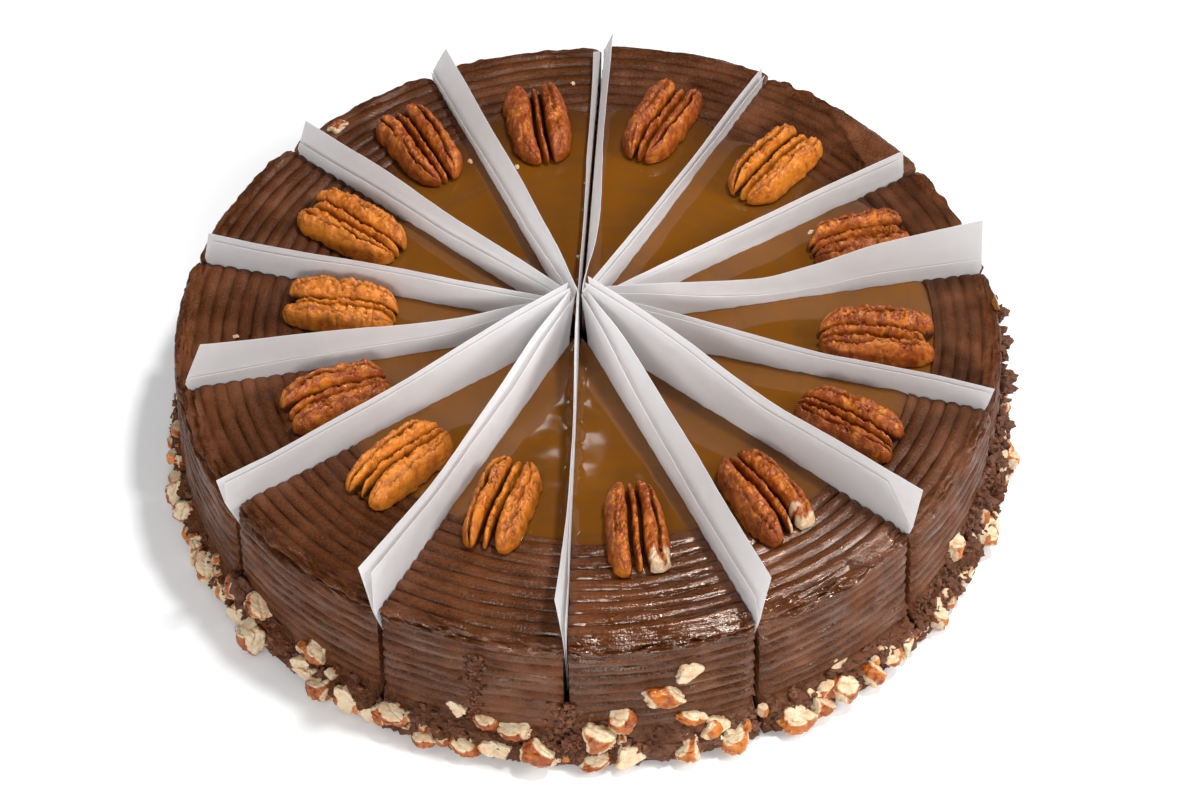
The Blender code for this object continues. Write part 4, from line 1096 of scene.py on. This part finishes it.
def crumbs(material):
    """Crumbs of chocolate on the foot, at the foot of the cuts and along the comb's seam, and the torn
    lumps of frosting."""
    rng = random.Random(SEED + 1)
    templates = [crumb_template(k) for k in range(CRUMB_KINDS)]
    templates += [lump_template(CRUMB_KINDS + k, 0.6, 0.16) for k in range(LUMP_KINDS)]
    places = []

    def add(angle, radius, z, shape, shade):
        kind = rng.randrange(CRUMB_KINDS)
        places.append((kind, stand(angle, radius, max(z, shape[0] / 2), shape, rng), shade))

    for k, (angle, radius, z, *size) in enumerate(LUMPS):
        kind = CRUMB_KINDS + k % LUMP_KINDS
        places.append((kind, stand(angle, radius, z, [1.1 * s for s in size], rng), 0.15))
    for _ in range(FOOT_CRUMBS):
        z = 0.4 + rng.random() ** 1.2 * 12.5
        size = 0.6 + 2.2 * rng.random() ** 2.5
        shape = (size, size * rng.uniform(0.8, 1.9), size * rng.uniform(0.6, 1.2))
        add(rng.uniform(0.0, 360.0), side_radius(z) + rng.uniform(-0.3, 0.6), z, shape, 0.7 * rng.random())
    for _ in range(SEAM_CRUMBS):
        z, size = rng.uniform(12.0, 42.0), rng.uniform(0.6, 1.6)
        add(SEAM + rng.gauss(0.0, 0.8), side_radius(z), z, [size] * 3, 0.6 * rng.random())
    for _ in range(CUT_CRUMBS):
        z, size = 24.0 * rng.random() ** 1.4, rng.uniform(0.9, 2.6)
        add(FRONT_CUT + rng.gauss(0.0, 1.4), side_radius(z) - 0.4, z, [size] * 3, 0.7 * rng.random())
    for _ in range(SIDE_CRUMBS):
        angle = rng.uniform(TORN_SIDE[0], TORN_SIDE[-1])
        z = 6.0 + (np.interp(angle, TORN_SIDE, TORN_HEIGHT) - 6.0) * rng.random() ** 0.8
        size = 0.8 + 2.0 * rng.random() ** 2
        add(angle, side_radius(z) + rng.uniform(-0.3, 1.3), z, (size * 1.3, size, size), 0.4 * rng.random())
    return scatter("crumbs", templates, places, material, "frosting")


# ---- stage ----
CAMERA_DISTANCE = 1.2274
CAMERA_PITCH = 48.10            # degrees below the horizon
CAMERA_ROLL = -1.04             # degrees
CAMERA_AIM = (0.0031, -0.00866, 0.025)
CAMERA_LENS = 120.0             # mm, on a frame 36 mm wide
# Softboxes that face the cake: name, place, width and height, share of the key light's power, colour
WHITE = (1.0, 1.0, 1.0)
SKY = (0.78, 0.89, 1.0)
SOFTBOXES = (
    ("ceiling", (0.50, 0.05, 1.66), (0.24, 0.17), 1.2, WHITE),
    ("right", (1.3, -0.3, 0.9), (0.6, 0.6), 1.1, WHITE),
    ("front", (-0.2, -1.7, 1.0), (0.6, 0.4), 1.15, WHITE),
    ("left", (-1.3, -0.9, 0.6), (0.5, 0.5), 0.22, SKY),
    ("window", (-0.045, 1.02, 1.2), (0.06, 0.05), 0.0035, WHITE),
)


def add_camera():
    pitch, roll = math.radians(CAMERA_PITCH), math.radians(CAMERA_ROLL)
    forward = Vector((0.0, math.cos(pitch), -math.sin(pitch)))
    level = Vector((1.0, 0.0, 0.0))
    upright = level.cross(forward)
    right = math.cos(roll) * level + math.sin(roll) * upright
    up = -math.sin(roll) * level + math.cos(roll) * upright
    data = bpy.data.cameras.new("camera")
    data.lens, data.sensor_width = CAMERA_LENS, 36.0
    obj = bpy.data.objects.new("camera", data)
    bpy.context.scene.collection.objects.link(obj)
    place = Matrix((right, up, -forward)).transposed().to_4x4()
    place.translation = Vector(CAMERA_AIM) - forward * CAMERA_DISTANCE
    obj.matrix_world = place
    bpy.context.scene.camera = obj


def add_softbox(name, place, size, power, colour):
    data = bpy.data.lights.new(name, "AREA")
    data.shape, data.size, data.size_y = "RECTANGLE", size[0], size[1]
    data.energy, data.color = power, colour
    obj = bpy.data.objects.new(name, data)
    bpy.context.scene.collection.objects.link(obj)
    obj.location = place
    obj.rotation_euler = (-Vector(place)).to_track_quat("-Z", "Y").to_euler()


def white_room(strength, mirrored):
    """Light from all round, of which shiny surfaces mirror only a share, as under a dark ceiling."""
    world = bpy.data.worlds.new("white room")
    world.use_nodes = True
    tree = world.node_tree
    mirror = put(tree, "LightPath", out="Is Glossy Ray")
    level = put(tree, "MapRange", {0: mirror, 1: 0.0, 2: 1.0, 3: strength, 4: mirrored})
    plug(tree, tree.nodes["Background"], {"Strength": level, "Color": (1.0, 1.0, 1.0, 1.0)})
    return world


def floor_material(setup):
    """Plain matt white floor."""
    return new_material("matt white laminate", Base_Color=setup.floor, Roughness=0.6, IOR=1.45)[0]


# ---- operators ----
def model_all(model, *shared):
    """Model one piece for every slice, from what they all share."""
    for n in range(1, SLICES + 1):
        model(n, *shared)
    return {"FINISHED"}


class CAKE_OT_frosting(bpy.types.Operator):
    """Model the combed chocolate frosting of all slices"""
    bl_idname = "cake.frosting"
    bl_label = "Frosting"

    def execute(self, context):
        setup = context.scene.cake_frosting
        return model_all(frosting_slice, setup, frosting_material(setup))


class CAKE_OT_caramel(bpy.types.Operator):
    """Pour the caramel over the middle of all slices"""
    bl_idname = "cake.caramel"
    bl_label = "Caramel"

    def execute(self, context):
        setup = context.scene.cake_caramel
        material = caramel_material(setup)
        model_all(caramel_pool, setup, material)
        drip = stand(4.3, 124.4, 47.0, (2.8, 14.0, 2.4), random.Random(SEED))
        scatter("caramel_drip", [lump_template(3, 0.2, 0.0)], [(0, drip, 0.0)], material, "caramel")
        return {"FINISHED"}


class CAKE_OT_kernels(bpy.types.Operator):
    """Lay half a kernel on every slice"""
    bl_idname = "cake.kernels"
    bl_label = "Kernels"

    def execute(self, context):
        return model_all(kernel_piece, kernel_material(context.scene.cake_kernels))


class CAKE_OT_dividers(bpy.types.Operator):
    """Stand a folded sheet of tissue in every cut"""
    bl_idname = "cake.dividers"
    bl_label = "Paper dividers"

    def execute(self, context):
        setup = context.scene.cake_paper
        return model_all(divider, setup, paper_material(setup))


class CAKE_OT_chopped(bpy.types.Operator):
    """Press chopped nuts into the foot"""
    bl_idname = "cake.chopped"
    bl_label = "Chopped nuts"

    def execute(self, context):
        chopped_nuts(kernel_material(context.scene.cake_kernels))
        return {"FINISHED"}


class CAKE_OT_crumbs(bpy.types.Operator):
    """Press crumbs and torn lumps of frosting into the foot and the rim"""
    bl_idname = "cake.crumbs"
    bl_label = "Crumbs"

    def execute(self, context):
        crumbs(crumb_material(context.scene.cake_frosting))
        return {"FINISHED"}


class CAKE_OT_stage(bpy.types.Operator):
    """Set the table, the studio light and the camera"""
    bl_idname = "cake.stage"
    bl_label = "Stage"

    def execute(self, context):
        setup = context.scene.cake_stage
        bpy.ops.mesh.primitive_plane_add(size=6.0, location=(0.0, 0.0, -0.0002))
        floor = context.object
        floor.name = "floor"
        floor.data.materials.append(floor_material(setup))
        for name, place, size, share, colour in SOFTBOXES:
            add_softbox(name, place, size, setup.key * share, colour)
        context.scene.world = white_room(setup.fill, setup.dark)
        context.scene.view_settings.view_transform = "Standard"
        add_camera()
        return {"FINISHED"}


class CAKE_PT_panel(bpy.types.Panel):
    """Buttons and settings of the cheesecake"""
    bl_label = "Cheesecake"
    bl_idname = "CAKE_PT_panel"
    bl_space_type = "VIEW_3D"
    bl_region_type = "UI"
    bl_category = "Cheesecake"

    def draw(self, context):
        for operator, group in PANEL_ROWS:
            self.layout.operator(operator.bl_idname)
            if group:
                box = self.layout.box()
                settings = getattr(context.scene, group)
                for key in settings.__annotations__:
                    box.prop(settings, key)


PANEL_ROWS = (
    (CAKE_OT_frosting, "cake_frosting"), (CAKE_OT_caramel, "cake_caramel"),
    (CAKE_OT_kernels, "cake_kernels"), (CAKE_OT_dividers, "cake_paper"), (CAKE_OT_chopped, None),
    (CAKE_OT_crumbs, None), (CAKE_OT_stage, "cake_stage"),
)
GROUPS = {
    "cake_frosting": FrostingSettings, "cake_caramel": CaramelSettings, "cake_kernels": KernelSettings,
    "cake_paper": PaperSettings, "cake_stage": StageSettings,
}
CLASSES = tuple(GROUPS.values()) + tuple(row[0] for row in PANEL_ROWS) + (CAKE_PT_panel,)


def register():
    for cls in CLASSES:
        bpy.utils.register_class(cls)
    for name, group in GROUPS.items():
        setattr(bpy.types.Scene, name, PointerProperty(type=group))


def unregister():
    for name in GROUPS:
        delattr(bpy.types.Scene, name)
    for cls in reversed(CLASSES):
        bpy.utils.unregister_class(cls)


def main():
    register()
    bpy.ops.cake.stage()
    bpy.ops.cake.frosting()
    bpy.ops.cake.caramel()
    bpy.ops.cake.kernels()
    bpy.ops.cake.dividers()
    bpy.ops.cake.chopped()
    bpy.ops.cake.crumbs()


if __name__ == "__main__":
    main()
